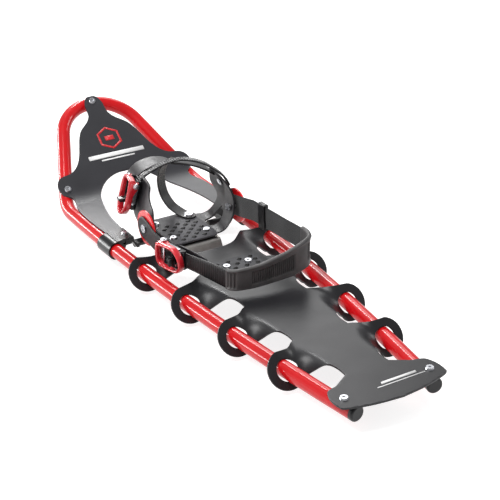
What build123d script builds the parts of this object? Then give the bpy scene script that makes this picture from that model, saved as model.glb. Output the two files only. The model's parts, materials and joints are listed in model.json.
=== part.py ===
import os
from math import cos, hypot, radians, sin, sqrt, tan

from build123d import *

# One snowshoe, in millimetres: +X to the right tube, +Y to the nose, +Z up.
# The origin is on the ground, under the middle of the shoe.

os.makedirs("parts", exist_ok=True)

# ---- driving dimensions -------------------------------------------------
TUBE_R = 11.0            # 22 mm aluminium tube
TUBE_WALL = 1.5
TUBE_Z = 27.0            # tube axis above the ground
HALF_WIDTH = 116.0       # tube axis at its widest
TAIL_Y = -425.0          # open tube ends
SIDE_RADIUS = 4366.0     # long gentle taper of the two sides
BEND_Y = 288.0           # corner between the flat part and the raised nose
BEND_RADIUS = 60.0
NOSE_ANGLE = radians(36.9)
NOSE_INWARD = radians(20.0)
NOSE_LENGTH = 182.0      # corner to the middle of the nose, along the slope
CLEAR = 0.3              # gap between separate pieces

SHEET = 2.5              # deck sheet
DECK_Z = TUBE_Z + TUBE_R + 0.2
EAR_R = 27.0             # deck loops that hold the tube
EAR_HOLE_R = 15.4
EAR_OFFSET = 4.0
EAR_THICK = 4.0
EAR_STATIONS = (26.0, -88.0, -198.0, -302.0)
TIP_X = (58.0, 53.0, 46.0, 36.0)      # inner tips of the openings behind each loop

PIVOT_Y = 126.0          # axis that the binding turns on
PIVOT_Z = 25.0
ROD_R = 3.0
ROD_FIT = 0.05           # running clearance on pins and rods

PAD_X = 39.0             # half width of the toe pad
PAD_Y = (68.0, 163.0)
CRAMPON_Z = 28.5
CRAMPON_SHEET = 2.0
WING_SHEET = 2.6
WING_Z = CRAMPON_Z + CRAMPON_SHEET + CLEAR
PAD_Z = WING_Z + WING_SHEET + CLEAR
PAD_SHEET = 2.5

DISC_Y = 83.0
DISC_Z = 68.5
DISC_R = 27.0

STRAP_T = 2.6


def save(piece, name):
    """Label a piece and write its STEP file."""
    piece.label = name
    export_step(piece, f"parts/{name}.step")


def tube_x(y):
    """Half width of the frame at a station on the flat part."""
    return HALF_WIDTH - (SIDE_RADIUS - sqrt(SIDE_RADIUS**2 - (BEND_Y - 20.0 - y) ** 2))


def on_slope(x, along, above=0.0):
    """A point on the raised nose, by distance from the bend and height over the tube axis."""
    y = BEND_Y + along * cos(NOSE_ANGLE) - above * sin(NOSE_ANGLE)
    z = TUBE_Z + along * sin(NOSE_ANGLE) + above * cos(NOSE_ANGLE)
    return (x, y, z)


# ---- frame tube ---------------------------------------------------------
# The nose is a straight run on each side and one round arc in the sloped plane.
nose_r = (HALF_WIDTH - NOSE_LENGTH * tan(NOSE_INWARD)) / (
    cos(NOSE_INWARD) - tan(NOSE_INWARD) * (1 - sin(NOSE_INWARD))
)
nose_x = nose_r * cos(NOSE_INWARD)
nose_along = NOSE_LENGTH - nose_r * (1 - sin(NOSE_INWARD))


def side_points(side):
    """Start and end of the bend, and the start of the nose arc, on one side."""
    corner = Vector(side * HALF_WIDTH, BEND_Y, TUBE_Z)
    up = (Vector(*on_slope(side * nose_x, nose_along)) - corner).normalized()
    turn = radians(Vector(0, 1, 0).get_angle(up))
    reach = BEND_RADIUS * tan(turn / 2)
    return corner - Vector(0, reach, 0), corner + up * reach, corner + up * (
        Vector(*on_slope(side * nose_x, nose_along)) - corner
    ).length


def frame_path(side):
    """Tail arc, bend and straight run of one side, as build lines."""
    bend_start, bend_end, nose_start = side_points(side)
    tail = Vector(side * tube_x(TAIL_Y), TAIL_Y, TUBE_Z)
    TangentArc(bend_start, tail, tangent=(0, -1, 0))
    TangentArc(bend_start, bend_end, tangent=(0, 1, 0))
    Line(bend_end, nose_start)


with BuildPart() as frame_tube:
    with BuildLine() as centre_line:
        frame_path(1)
        ThreePointArc(side_points(1)[2], on_slope(0, NOSE_LENGTH), side_points(-1)[2])
        frame_path(-1)
    tail_end = Plane(
        origin=(tube_x(TAIL_Y), TAIL_Y, TUBE_Z),
        z_dir=centre_line.wires()[0].tangent_at(
            0 if (centre_line.wires()[0] @ 0).X > 0 else 1
        ),
    )
    with BuildSketch(tail_end):
        Circle(TUBE_R)
        Circle(TUBE_R - TUBE_WALL, mode=Mode.SUBTRACT)
    sweep(path=centre_line.wires()[0])
save(frame_tube.part, "frame_tube")


# ---- end caps -----------------------------------------------------------
def end_cap(side):
    """Plastic cap with a spigot pressed into one open tube end."""
    slant = (BEND_Y - 20.0 - TAIL_Y) / SIDE_RADIUS
    mouth = Plane(
        origin=(side * tube_x(TAIL_Y), TAIL_Y, TUBE_Z),
        z_dir=(-side * sin(slant), -cos(slant), 0),
    )
    with BuildPart() as cap:
        with BuildSketch(mouth.offset(0.1)):
            Circle(TUBE_R + 0.1)
        extrude(amount=7.0)
        fillet(cap.edges().filter_by(GeomType.CIRCLE).sort_by(Axis.Y)[0], 3.0)
        with BuildSketch(mouth.offset(-14.0)):
            Circle(TUBE_R - TUBE_WALL - 0.05)
        extrude(amount=14.2)
    return cap.part


save(end_cap(-1), "end_cap_left")
save(end_cap(1), "end_cap_right")


# ---- toe deck -----------------------------------------------------------
NOSE_RIVET = on_slope(0, NOSE_LENGTH - 3.0, TUBE_R + SHEET + 0.2)
LOBE_ALONG = 27.0
LOBE_X = 106.0
WRAP_Y = 131.0
WRAP_WIDE = 37.0
WRAP_T = 3.0
WRAP_RIVET_X = 91.0
ARM_END_Y = WRAP_Y - WRAP_WIDE / 2
SLEEVE_X = (52.0, 78.0)
SLEEVE_R = 6.0

# Half outline seen from above, from the nose lobe back to the end of one arm.
toe_outline = [
    (0, 430), (11, 427), (16, 417), (17, 404), (26, 392), (42, 381), (55, 362),
    (72, 334), (92, 322), (112, 318), (120, 308), (115, 295), (106, 287),
    (109, 262), (114, 230), (114, 185), (112, WRAP_Y + WRAP_WIDE / 2 + 1),
]
arm_end = [(98, WRAP_Y + WRAP_WIDE / 2 + 1), (98, ARM_END_Y), (84, ARM_END_Y)]
toe_hole = [(84, ARM_END_Y), (83.8, 155), (80.5, 200), (67, 256), (48, 294), (24, 308), (0, 311)]

with BuildPart() as toe_deck:
    deck_line = [
        (ARM_END_Y - 10, DECK_Z + SHEET / 2),
        (BEND_Y - (TUBE_R + 1.5) * tan(NOSE_ANGLE / 2), DECK_Z + SHEET / 2),
        on_slope(0, NOSE_LENGTH + 12, TUBE_R + 0.2 + SHEET / 2)[1:],
    ]
    with BuildSketch(Plane.YZ):
        with BuildLine():
            FilletPolyline(*deck_line, radius=BEND_RADIUS)
        trace(line_width=SHEET)
    extrude(amount=HALF_WIDTH + 20, both=True)
    with BuildSketch():
        with BuildLine():
            outer = Spline(*toe_outline)
            Polyline(outer @ 1, *arm_end)
            inner = Spline(*toe_hole)
            Line(inner @ 1, outer @ 0)
        make_face()
        mirror(about=Plane.YZ)
    extrude(amount=200, mode=Mode.INTERSECT)
save(toe_deck.part, "toe_deck")


# ---- wraps that tie the deck arms to the tube ---------------------------
def arm_wrap(side):
    """Band round the tube whose two ends clamp the deck arm and the pivot strap."""
    slant = side * (BEND_Y - 20.0 - WRAP_Y) / SIDE_RADIUS
    across = Plane(origin=(side * tube_x(WRAP_Y), WRAP_Y, TUBE_Z), z_dir=(slant, 1, 0))
    tab_z = DECK_Z + SHEET + 0.1
    with BuildPart() as band:
        with BuildSketch(across):
            Circle(TUBE_R + CLEAR + WRAP_T)
        extrude(amount=WRAP_WIDE / 2, both=True)
        with BuildSketch(Plane.XZ.offset(-WRAP_Y)):
            with BuildLine():
                Polyline(
                    (side * 112, TUBE_Z + 10), (side * 112, tab_z + 1), (side * 104, tab_z + SHEET),
                    (side * 84, tab_z + SHEET), (side * 84, tab_z), (side * 99, tab_z),
                    (side * 99, TUBE_Z + 10), close=True,
                )
            make_face()
            with BuildLine():
                Polyline(
                    (side * 104, TUBE_Z + 6), (side * 98, DECK_Z - 3.2), (side * 88, DECK_Z - 3.2),
                    (side * 88, DECK_Z - 5.7), (side * 97, DECK_Z - 5.7),
                    (side * 102, TUBE_Z - 6), close=True,
                )
            make_face()
        extrude(amount=WRAP_WIDE / 2 - 0.5, both=True)
        with BuildSketch(across):
            Circle(TUBE_R + CLEAR)
        extrude(amount=WRAP_WIDE, both=True, mode=Mode.SUBTRACT)
    return band.part


save(arm_wrap(-1), "arm_wrap_left")
save(arm_wrap(1), "arm_wrap_right")


# ---- rear deck ----------------------------------------------------------
def tooth_opening(station, tip_x):
    """Outline of one shark-tooth opening behind a loop, on the right side."""
    reach = tube_x(station - 60) + 14
    return [
        (reach, station - 50), (tube_x(station - 50) - 10, station - 48),
        (tip_x + 18, station - 35), (tip_x + 7, station - 35), (tip_x, station - 49),
        (tip_x, station - 67), (tip_x + 4, station - 71),
        (tube_x(station - 81) - 10, station - 81), (reach, station - 82),
    ]


deck_outline = [
    (0, 28), (32, 30), (60, 45), (76, 62), (92, 63), (tube_x(40) - 9, 52),
    (tube_x(-60) - 9, -60), (tube_x(-170) - 9, -170), (tube_x(-270) - 9, -270),
    (tube_x(-385) - 8, -385), (79, -398), (82, -408), (81, -424), (76, -430),
    (40, -440), (0, -444.5),
]

with BuildPart() as rear_deck:
    with BuildSketch(Plane.XY.offset(DECK_Z)):
        with BuildLine():
            front = Spline(*deck_outline[:4], tangents=((1, 0), (0.7, 1)))
            Polyline(front @ 1, *deck_outline[4:14])
            tail_edge = ThreePointArc(deck_outline[13], deck_outline[14], deck_outline[15])
            Line(tail_edge @ 1, front @ 0)
        make_face()
        for hole_station, hole_tip in zip(EAR_STATIONS, TIP_X):
            with BuildLine():
                Polyline(*tooth_opening(hole_station, hole_tip), close=True)
            make_face(mode=Mode.SUBTRACT)
        mirror(about=Plane.YZ)
    extrude(amount=SHEET)
    for station in EAR_STATIONS:
        for side in (-1, 1):
            with BuildSketch(Plane.XZ.offset(-station - EAR_THICK / 2)):
                with Locations((side * tube_x(station), TUBE_Z)):
                    Circle(EAR_R)
                with Locations((side * (tube_x(station) - EAR_OFFSET), TUBE_Z)):
                    Circle(EAR_HOLE_R, mode=Mode.SUBTRACT)
            extrude(amount=EAR_THICK)
save(rear_deck.part, "rear_deck")


# ---- rivets through the decks -------------------------------------------
def rivet(plane, head_r=6.0, head_h=2.2):
    """Low domed rivet head standing on a surface."""
    with BuildPart() as stud:
        with BuildSketch(plane.offset(0.1)):
            Circle(head_r)
        extrude(amount=head_h, taper=25)
        with BuildSketch(plane.offset(0.1 + head_h)):
            Circle(head_r * 0.35)
        extrude(amount=-head_h / 2, mode=Mode.SUBTRACT)
    return stud.part


def group(solids, name):
    """Identical loose fasteners saved as one node."""
    save(Compound(children=solids), name)


slope_up = (0, -sin(NOSE_ANGLE), cos(NOSE_ANGLE))
lobe_tops = [on_slope(side * LOBE_X, LOBE_ALONG, TUBE_R + SHEET + 0.2) for side in (-1, 1)]
group(
    [rivet(Plane(origin=top, z_dir=slope_up)) for top in (NOSE_RIVET, *lobe_tops)],
    "toe_deck_rivets",
)
tail_rivet_at = [(side * 66.0, -411.0, DECK_Z + SHEET) for side in (-1, 1)]
group([rivet(Plane(origin=top)) for top in tail_rivet_at], "tail_rivets")


# ---- pivot rod and the straps that carry it -----------------------------
def pivot_strap(side):
    """Strap riveted between the layers of a deck arm, ending in a sleeve for the rod."""
    with BuildPart() as strap:
        with BuildSketch(Plane.XZ.offset(-WRAP_Y)):
            with BuildLine():
                Polyline(
                    (side * 98, DECK_Z - 0.3), (side * 85, DECK_Z - 0.3),
                    (side * 78.5, PIVOT_Z + 5.5), (side * 75, PIVOT_Z + 5.5),
                    (side * 75, PIVOT_Z - 1), (side * 79.5, PIVOT_Z - 1),
                    (side * 86.3, DECK_Z - 2.9), (side * 98, DECK_Z - 2.9), close=True,
                )
            make_face()
        extrude(amount=WRAP_WIDE / 2, both=True)
        with BuildSketch(Plane.YZ.offset(side * SLEEVE_X[0])):
            with Locations((PIVOT_Y, PIVOT_Z)):
                Circle(SLEEVE_R)
        extrude(amount=side * (SLEEVE_X[1] - SLEEVE_X[0]))
        with BuildSketch(Plane.YZ.offset(side * (SLEEVE_X[0] - 1))):
            with Locations((PIVOT_Y, PIVOT_Z)):
                Circle(ROD_R)
        extrude(amount=side * 40, mode=Mode.SUBTRACT)
    return strap.part


save(pivot_strap(-1), "pivot_strap_left")
save(pivot_strap(1), "pivot_strap_right")
group(
    [rivet(Plane(origin=(side * WRAP_RIVET_X, WRAP_Y, DECK_Z + 2 * SHEET + 0.1)), 5.0) for side in (-1, 1)],
    "strap_rivets",
)

with BuildPart() as pivot_rod:
    with BuildSketch(Plane.YZ):
        with Locations((PIVOT_Y, PIVOT_Z)):
            Circle(ROD_R)
    extrude(amount=SLEEVE_X[1] - 1, both=True)
save(pivot_rod.part, "pivot_rod")


# ---- heel pad and heel crampon ------------------------------------------
HEEL_Y = -50.0
HEEL_X = 37.0
HEEL_DEEP = 40.0
HEEL_PAD_T = 6.0
STUD = 6.5
STUD_H = 2.2


def studs(points, z):
    """Small four-sided pyramids for grip, standing on a pad."""
    with BuildPart() as field:
        with BuildSketch(Plane.XY.offset(z)):
            with Locations(*points):
                Rectangle(STUD, STUD, rotation=45)
        extrude(amount=STUD_H, taper=45)
    return field.part


with BuildPart() as heel_pad:
    with BuildSketch(Plane.XY.offset(DECK_Z + SHEET + 0.1)):
        with Locations((0, HEEL_Y)):
            RectangleRounded(2 * HEEL_X, HEEL_DEEP, 8)
    extrude(amount=HEEL_PAD_T)
    heel_stud_at = [
        (x, HEEL_Y + y) for y in (-11, 11) for x in (-28, -9.5, 9.5, 28)
    ] + [(x, HEEL_Y) for x in (-30, 0, 30)]
    add(studs(heel_stud_at, DECK_Z + SHEET + 0.1 + HEEL_PAD_T))
save(heel_pad.part, "heel_pad")
heel_top = DECK_Z + SHEET + 0.1 + HEEL_PAD_T
group([rivet(Plane(origin=(side * 18, HEEL_Y, heel_top))) for side in (-1, 1)], "heel_pad_rivets")

with BuildPart() as heel_crampon:
    with BuildSketch(Plane.XZ.offset(-HEEL_Y)):
        with BuildLine():
            Polyline((-30, 12), (-30, DECK_Z - 1.2), (30, DECK_Z - 1.2), (30, 12))
        trace(line_width=CRAMPON_SHEET)
    extrude(amount=HEEL_DEEP / 2, both=True)
    with BuildSketch(Plane.YZ):
        for tooth_y in (-20, -10, 0, 10, 20):
            with BuildLine():
                Polyline(
                    (HEEL_Y + tooth_y - 5, 10), (HEEL_Y + tooth_y + 5, 10),
                    (HEEL_Y + tooth_y, 24), close=True,
                )
            make_face()
    extrude(amount=60, both=True, mode=Mode.SUBTRACT)
save(heel_crampon.part, "heel_crampon")


# ---- toe pad and toe crampon --------------------------------------------
pad_mid_y = (PAD_Y[0] + PAD_Y[1]) / 2
pad_deep = PAD_Y[1] - PAD_Y[0]
PAD_RIVETS = ((-29, 146), (-29, 90), (29, 90))
TONGUE_RIVET = (29.0, 146.0)

with BuildPart() as toe_pad:
    with BuildSketch(Plane.XY.offset(PAD_Z)):
        with Locations((0, pad_mid_y)):
            RectangleRounded(2 * PAD_X, pad_deep, 9)
    extrude(amount=PAD_SHEET)
    rows = [
        (column * 13.5 + (row % 2) * 6.75 - 27, 80 + row * 9.5)
        for row in range(8) for column in range(5)
    ]
    near = (*PAD_RIVETS, TONGUE_RIVET)
    stud_at = [
        p for p in rows
        if abs(p[0]) < 34 and min(hypot(p[0] - q[0], p[1] - q[1]) for q in near) > 12
    ]
    add(studs(stud_at, PAD_Z + PAD_SHEET))
save(toe_pad.part, "toe_pad")
pad_top = PAD_Z + PAD_SHEET
group([rivet(Plane(origin=(x, y, pad_top)), 5.5) for x, y in PAD_RIVETS], "toe_pad_rivets")

with BuildPart() as toe_crampon:
    with BuildSketch(Plane.XZ.offset(-pad_mid_y)):
        with BuildLine():
            side_x = PAD_X - 1.0
            top_z = CRAMPON_Z + CRAMPON_SHEET / 2
            Polyline((-side_x, 2), (-side_x, top_z), (side_x, top_z), (side_x, 2))
        trace(line_width=CRAMPON_SHEET)
    extrude(amount=pad_deep / 2 - 3, both=True)
    # rear skirt, curved down behind the pad
    with BuildSketch(Plane.YZ):
        with BuildLine():
            FilletPolyline((PAD_Y[0] + 6, top_z), (PAD_Y[0] - 3, top_z), (PAD_Y[0] - 9, 18), radius=6)
        trace(line_width=CRAMPON_SHEET)
    extrude(amount=side_x + 1, both=True)
    # two front claws that point down
    for claw_x in (-20, 20):
        with BuildSketch(Plane.XZ.offset(-PAD_Y[1] + 3)):
            with BuildLine():
                Polyline(
                    (claw_x - 13, CRAMPON_Z + CRAMPON_SHEET), (claw_x + 13, CRAMPON_Z + CRAMPON_SHEET),
                    (claw_x + 4, 2.0), (claw_x - 4, 2.0), close=True,
                )
            make_face()
        extrude(amount=-CRAMPON_SHEET)
    # saw teeth along both side rails
    with BuildSketch(Plane.YZ):
        for tooth in range(5):
            tooth_y = PAD_Y[0] + 3 + (tooth + 0.5) * (pad_deep - 6) / 5
            if abs(tooth_y - PIVOT_Y) < 12:
                continue
            with BuildLine():
                Polyline((tooth_y - 9, 1), (tooth_y + 9, 1), (tooth_y, 17), close=True)
            make_face()
    extrude(amount=60, both=True, mode=Mode.SUBTRACT)
    with BuildSketch(Plane.YZ):
        with Locations((PIVOT_Y, PIVOT_Z)):
            Circle(ROD_R + ROD_FIT)
    extrude(amount=60, both=True, mode=Mode.SUBTRACT)
save(toe_crampon.part, "toe_crampon")


# ---- harness wings ------------------------------------------------------
# The soft harness leans to the right: its sheets all run along this direction.
HARNESS_TURN = radians(11.0)
HARNESS_Y = 90.0
AHEAD = Vector(sin(HARNESS_TURN), cos(HARNESS_TURN), 0)
ACROSS = Vector(cos(HARNESS_TURN), -sin(HARNESS_TURN), 0)
harness_section = Plane(origin=(0, HARNESS_Y, 0), x_dir=ACROSS, z_dir=-AHEAD)
harness_side = Plane(origin=(0, HARNESS_Y, 0), x_dir=AHEAD, z_dir=ACROSS)
wing_mid_z = WING_Z + WING_SHEET / 2

LEFT_CURVE = [
    (-24, wing_mid_z), (-51, wing_mid_z), (-61.5, 38), (-67, 49), (-68.6, 62), (-66.2, 80),
    (-60.8, 98), (-54.5, 117),
]
RIGHT_CURVE = [
    (24, wing_mid_z), (44, wing_mid_z), (54, 36.5), (61, 46), (66.5, 59), (68.5, 72), (67.5, 84),
    (62, 98), (53, 116),
]
LEFT_WING = [
    (-27, 30), (-32, 44), (-34, 58), (-32, 80), (-20, 92), (2, 97), (14, 104), (20, 117),
    (66, 117), (76, 104), (76, 84), (68, 64), (62, 46), (58, 30),
]
RIGHT_WING = [
    (-2, 30), (-6, 45), (-9, 56), (-8, 80), (2, 96), (12, 110), (16, 116), (40, 116),
    (50, 100), (56, 80), (61, 60), (66, 46), (70, 36), (72, 30),
]
LEFT_WINDOW = [(2, 28), (38, 28), (30, 46), (21, 58), (15, 58), (6, 46)]
RIGHT_WINDOW = [(18, 28), (50, 28), (46, 46), (38, 58), (30, 58), (20, 46)]
PIN_R = 3.0


def ribbon(plane, curve, thickness, reach):
    """Sheet of even thickness whose section follows a curve drawn in a plane."""
    steps = 30
    inner = []
    outer = []
    for step in range(steps + 1):
        at = curve.position_at(step / steps)
        along = curve.tangent_at(step / steps)
        off = Vector(-along.Y, along.X) * (thickness / 2)
        inner.append(at - off)
        outer.append(at + off)
    with BuildPart() as sheet:
        with BuildSketch(plane):
            with BuildLine():
                Polyline(*inner, *reversed(outer), close=True)
            make_face()
        extrude(amount=reach, both=True)
    return sheet.part


def wing(curve, outline, window):
    """Curved side of the harness: two legs under the pad that join above a window."""
    side = 1 if curve[0][0] > 0 else -1
    with BuildLine() as middle:
        run_out = Line(*curve[:2])
        Spline(*curve[1:], tangents=(run_out % 1, (-side * 0.4, 0.92)))
    with BuildPart() as sheet:
        add(ribbon(harness_section, middle.wires()[0], WING_SHEET, 120))
        with BuildSketch(harness_side):
            with BuildLine():
                Polyline(*outline, close=True)
            make_face()
            with BuildLine():
                Polyline(*window, close=True)
            make_face(mode=Mode.SUBTRACT)
        extrude(amount=120, both=True, mode=Mode.INTERSECT)
        with BuildSketch(Plane.YZ.offset(side * 60)):
            with Locations((DISC_Y, DISC_Z)):
                Circle(PIN_R + ROD_FIT)
        extrude(amount=side * 30, mode=Mode.SUBTRACT)
    return sheet.part


save(wing(LEFT_CURVE, LEFT_WING, LEFT_WINDOW), "wing_left")
save(wing(RIGHT_CURVE, RIGHT_WING, RIGHT_WINDOW), "wing_right")


# ---- red discs and the rivets that the heel strap turns on --------------
DISC_T = 2.6
ARM_T = 2.6
WEB_T = 1.8
LEFT_DISC_X = 75.8       # inner face of the disc, inside the strap arm
ARM_X = 78.7             # inner face of the left strap arm
WEB_X = 75.4             # inner face of the webbing, inside the right disc
RIGHT_DISC_X = 77.5
INNER_X = 64.0           # under the inner rivet heads


def disc(start_x, side, boss):
    """Round plate with a bore for its rivet."""
    with BuildPart() as plate:
        with BuildSketch(Plane.YZ.offset(side * start_x)):
            with Locations((DISC_Y, DISC_Z)):
                Circle(DISC_R)
        extrude(amount=side * DISC_T)
        if boss:
            with BuildSketch(Plane.YZ.offset(side * (start_x + 0.5))):
                with Locations((DISC_Y, DISC_Z)):
                    Circle(8)
            extrude(amount=-side * boss)
        with BuildSketch(Plane.YZ.offset(side * 50)):
            with Locations((DISC_Y, DISC_Z)):
                Circle(PIN_R + ROD_FIT)
        extrude(amount=side * 60, mode=Mode.SUBTRACT)
    return plate.part


def disc_rivet(side, head_x):
    """Long rivet from inside the wing to the outermost layer."""
    with BuildPart() as shaft:
        with BuildSketch(Plane.YZ.offset(side * INNER_X)):
            with Locations((DISC_Y, DISC_Z)):
                Circle(PIN_R)
        extrude(amount=side * (head_x - INNER_X))
        for start, way in ((head_x, 1), (INNER_X, -1)):
            with BuildSketch(Plane.YZ.offset(side * start)):
                with Locations((DISC_Y, DISC_Z)):
                    Circle(6.5)
            extrude(amount=side * way * 1.8)
    return shaft.part


save(disc(LEFT_DISC_X, -1, 1.2), "pivot_disc_left")
save(disc(RIGHT_DISC_X, 1, 0), "pivot_disc_right")
group(
    [disc_rivet(-1, ARM_X + ARM_T + 0.3), disc_rivet(1, RIGHT_DISC_X + DISC_T + 0.1)],
    "disc_rivets",
)


# ---- straps over the foot -----------------------------------------------
def over_strap(curve, plan, thickness):
    """Strap that follows a curve across the shoe, trimmed to a plan outline."""
    with BuildLine() as middle:
        Spline(*curve)
    with BuildPart() as strap:
        add(ribbon(harness_section, middle.wires()[0], thickness, 260))
        with BuildSketch():
            with BuildLine():
                Polyline(*plan, close=True)
            make_face()
        extrude(amount=200, mode=Mode.INTERSECT)
    return strap.part


def harness_point(across, ahead):
    """Plan position of a point given along the harness directions."""
    spot = Vector(0, HARNESS_Y, 0) + ACROSS * across + AHEAD * ahead
    return (spot.X, spot.Y)


LADDER_T = 2.4
LADDER_HALF = 12.2
BUCKLE_AHEAD = 54.0
BUCKLE_DOWN = Vector(-0.25, -0.968).normalized()      # across and up
BUCKLE_OUT = Vector(BUCKLE_DOWN.Y, -BUCKLE_DOWN.X)
buckle_spot = Vector(-63.5, 107.5)
ladder_run = [
    buckle_spot + BUCKLE_OUT * (0.3 + LADDER_T / 2) + BUCKLE_DOWN * along
    for along in (39, 24, 12, 3, -6)
]
ladder_curve = [
    *[(spot.X, spot.Y) for spot in ladder_run], (-57, 128.5), (-43, 138.5), (-20, 145.5), (4, 146),
    (30, 139.5), (50, 126.5), (60, 112.5), (65.5, 100.5),
]
ladder_plan = [
    harness_point(-90, BUCKLE_AHEAD - LADDER_HALF), harness_point(-62, BUCKLE_AHEAD - LADDER_HALF),
    harness_point(50, 14), harness_point(70, 12), harness_point(70, 36), harness_point(50, 39),
    harness_point(-60, BUCKLE_AHEAD + LADDER_HALF), harness_point(-90, BUCKLE_AHEAD + LADDER_HALF),
]
save(over_strap(ladder_curve, ladder_plan, LADDER_T), "instep_ladder")

band_curve = [(47, 122), (36, 129.5), (20, 136.5), (0, 139.5), (-16, 138.5)]
band_plan = [
    harness_point(60, 14), harness_point(-30, 50), harness_point(-30, 80), harness_point(60, 40),
]
save(over_strap(band_curve, band_plan, STRAP_T), "instep_band")

toe_curve = [(-70.5, 84), (-69, 97), (-64.5, 108), (-56, 118), (-42, 125), (-22, 128.5), (0, 128.5)]
toe_plan = [(-90, 166), (-20, 178), (40, 178), (40, 204), (-20, 206), (-90, 192)]
save(over_strap(toe_curve, toe_plan, STRAP_T), "toe_band")

# The tongue rises from the front corner of the pad and hooks back over the toe.
TONGUE_WAY = Vector(-0.45, 0.893, 0)
tongue_z = pad_top + 0.1 + STRAP_T / 2
with BuildPart() as tongue_strap:
    upright = Plane(
        origin=(*TONGUE_RIVET, 0), x_dir=TONGUE_WAY, z_dir=TONGUE_WAY.cross(Vector(0, 0, 1))
    )
    with BuildSketch(upright):
        with BuildLine():
            flat = Line((-11, tongue_z), (10, tongue_z))
            Spline(
                flat @ 1, (34, 48), (50, 74), (49, 104), (36, 124.5), tangents=((1, 0.05), (-1, 0.6))
            )
        trace(line_width=STRAP_T)
    extrude(amount=11, both=True)
save(tongue_strap.part, "tongue_strap")
save(rivet(Plane(origin=(*TONGUE_RIVET, pad_top + 0.1 + STRAP_T)), 7.5), "tongue_rivet")


# ---- ratchet buckles ----------------------------------------------------
# Both buckles have the same parts. In a buckle's own plane x runs down the strap
# and y points away from the foot; the pins run square to that plane.
BUCKLE_HALF = 12.9       # half width inside the base
PIN_OUT = 8.0
BUCKLE_PIN_R = 2.4
PAWL_AT = (27.0, 7.8)
LEVER_IN = BUCKLE_HALF + 3.1
PLATE_OUT = 13.5         # underside of the lever plate


def buckle_base(plane):
    """Folded steel channel that the strap runs through."""
    with BuildPart() as base:
        with BuildSketch(plane):
            with BuildLine():
                FilletPolyline(
                    (-6, 8), (-3, PIN_OUT + 4.2), (8, PIN_OUT + 4.8), (32, PIN_OUT + 3.5), (38, 6),
                    radius=3,
                )
                Polyline((38, 6), (38, -1.3), (-6, -1.3), (-6, 8))
            make_face()
            for at in ((0, PIN_OUT), PAWL_AT):
                with Locations(at):
                    Circle(BUCKLE_PIN_R + 0.02, mode=Mode.SUBTRACT)
        extrude(amount=BUCKLE_HALF + 1.6, both=True)
        with BuildSketch(plane):
            with Locations((16, 49.9)):
                Rectangle(80, 100)
        extrude(amount=BUCKLE_HALF, both=True, mode=Mode.SUBTRACT)
    return base.part


def pin(plane, at, half, head_r, head_t):
    """Pin with a hexagonal head at each end."""
    with BuildPart() as shaft:
        with BuildSketch(plane.offset(-half)):
            with Locations(at):
                Circle(BUCKLE_PIN_R)
        extrude(amount=2 * half)
        for end in (half, -half - head_t):
            with BuildSketch(plane.offset(end)):
                with Locations(at):
                    RegularPolygon(head_r, 6)
            extrude(amount=head_t)
    return shaft.part


def lever(plane):
    """Ring-shaped lever: an outer plate with a window and two cheeks on the pin."""
    with BuildPart() as ring:
        with BuildSketch(plane):
            with BuildLine():
                FilletPolyline(
                    (10, 4.5), (-3, 3.6), (-5, 9), (-2, 14.4), (8, PLATE_OUT + 3),
                    (46, PLATE_OUT + 1.8), (50, 11), (44, 9.5), (30, 9), radius=2,
                )
                Line((30, 9), (10, 4.5))
            make_face()
        extrude(amount=LEVER_IN + 2.5, both=True)
        with BuildSketch(plane):
            with Locations((0, PIN_OUT)):
                Circle(8)
            with Locations((12, PLATE_OUT - 20)):
                Rectangle(66, 40)
        extrude(amount=LEVER_IN, both=True, mode=Mode.SUBTRACT)
        with BuildSketch(plane):
            with Locations((27, PLATE_OUT)):
                Rectangle(32, 40)
        extrude(amount=LEVER_IN - 4, both=True, mode=Mode.SUBTRACT)
        with BuildSketch(plane):
            with Locations((0, PIN_OUT)):
                Circle(BUCKLE_PIN_R + ROD_FIT)
        extrude(amount=LEVER_IN + 9, both=True, mode=Mode.SUBTRACT)
    return ring.part


def pawl(plane):
    """Release catch: a tooth on the ladder and a tip that stands out through the lever."""
    with BuildPart() as catch:
        with BuildSketch(plane):
            with BuildLine():
                Polyline(
                    (15, 3.6), (18, 3.6), (27, 4.2), (31, 7), (30, 11.5), (26, 12.5), (23.5, 23.5),
                    (19.5, 24.5), (21, 12), close=True,
                )
            make_face()
            with Locations(PAWL_AT):
                Circle(BUCKLE_PIN_R + ROD_FIT, mode=Mode.SUBTRACT)
        extrude(amount=5, both=True)
    return catch.part


def buckle(plane, name):
    """Save every part of one buckle."""
    save(buckle_base(plane), f"{name}_buckle_base")
    save(pin(plane, (0, PIN_OUT), LEVER_IN + 2.8, 4.8, 2.2), f"{name}_lever_pin")
    save(pin(plane, PAWL_AT, BUCKLE_HALF + 1.7, 3.6, 1.0), f"{name}_release_pin")
    save(lever(plane), f"{name}_lever")
    save(pawl(plane), f"{name}_release")


buckle_at = harness_point(buckle_spot.X, BUCKLE_AHEAD)
instep_plane = Plane(
    origin=(*buckle_at, buckle_spot.Y),
    x_dir=ACROSS * BUCKLE_DOWN.X + Vector(0, 0, BUCKLE_DOWN.Y), z_dir=AHEAD,
)
buckle(instep_plane, "instep")


# ---- heel strap ---------------------------------------------------------
BACK = Vector(0.199, -0.98, 0).normalized()
OUTWARD = Vector(BACK.Y, -BACK.X, 0)
ARM_BEND_Y = 53.0
HEEL_STRAP_Z = 63.5
arm_mid = ARM_X + ARM_T / 2
arm_bend = Vector(-arm_mid, ARM_BEND_Y, 0)


def pin_bore(side):
    """Bore that turns on a disc rivet, as a solid to cut away."""
    with BuildPart() as bore:
        with BuildSketch(Plane.YZ.offset(side * 60)):
            with Locations((DISC_Y, DISC_Z)):
                Circle(PIN_R + ROD_FIT)
        extrude(amount=side * 40)
    return bore.part


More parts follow.
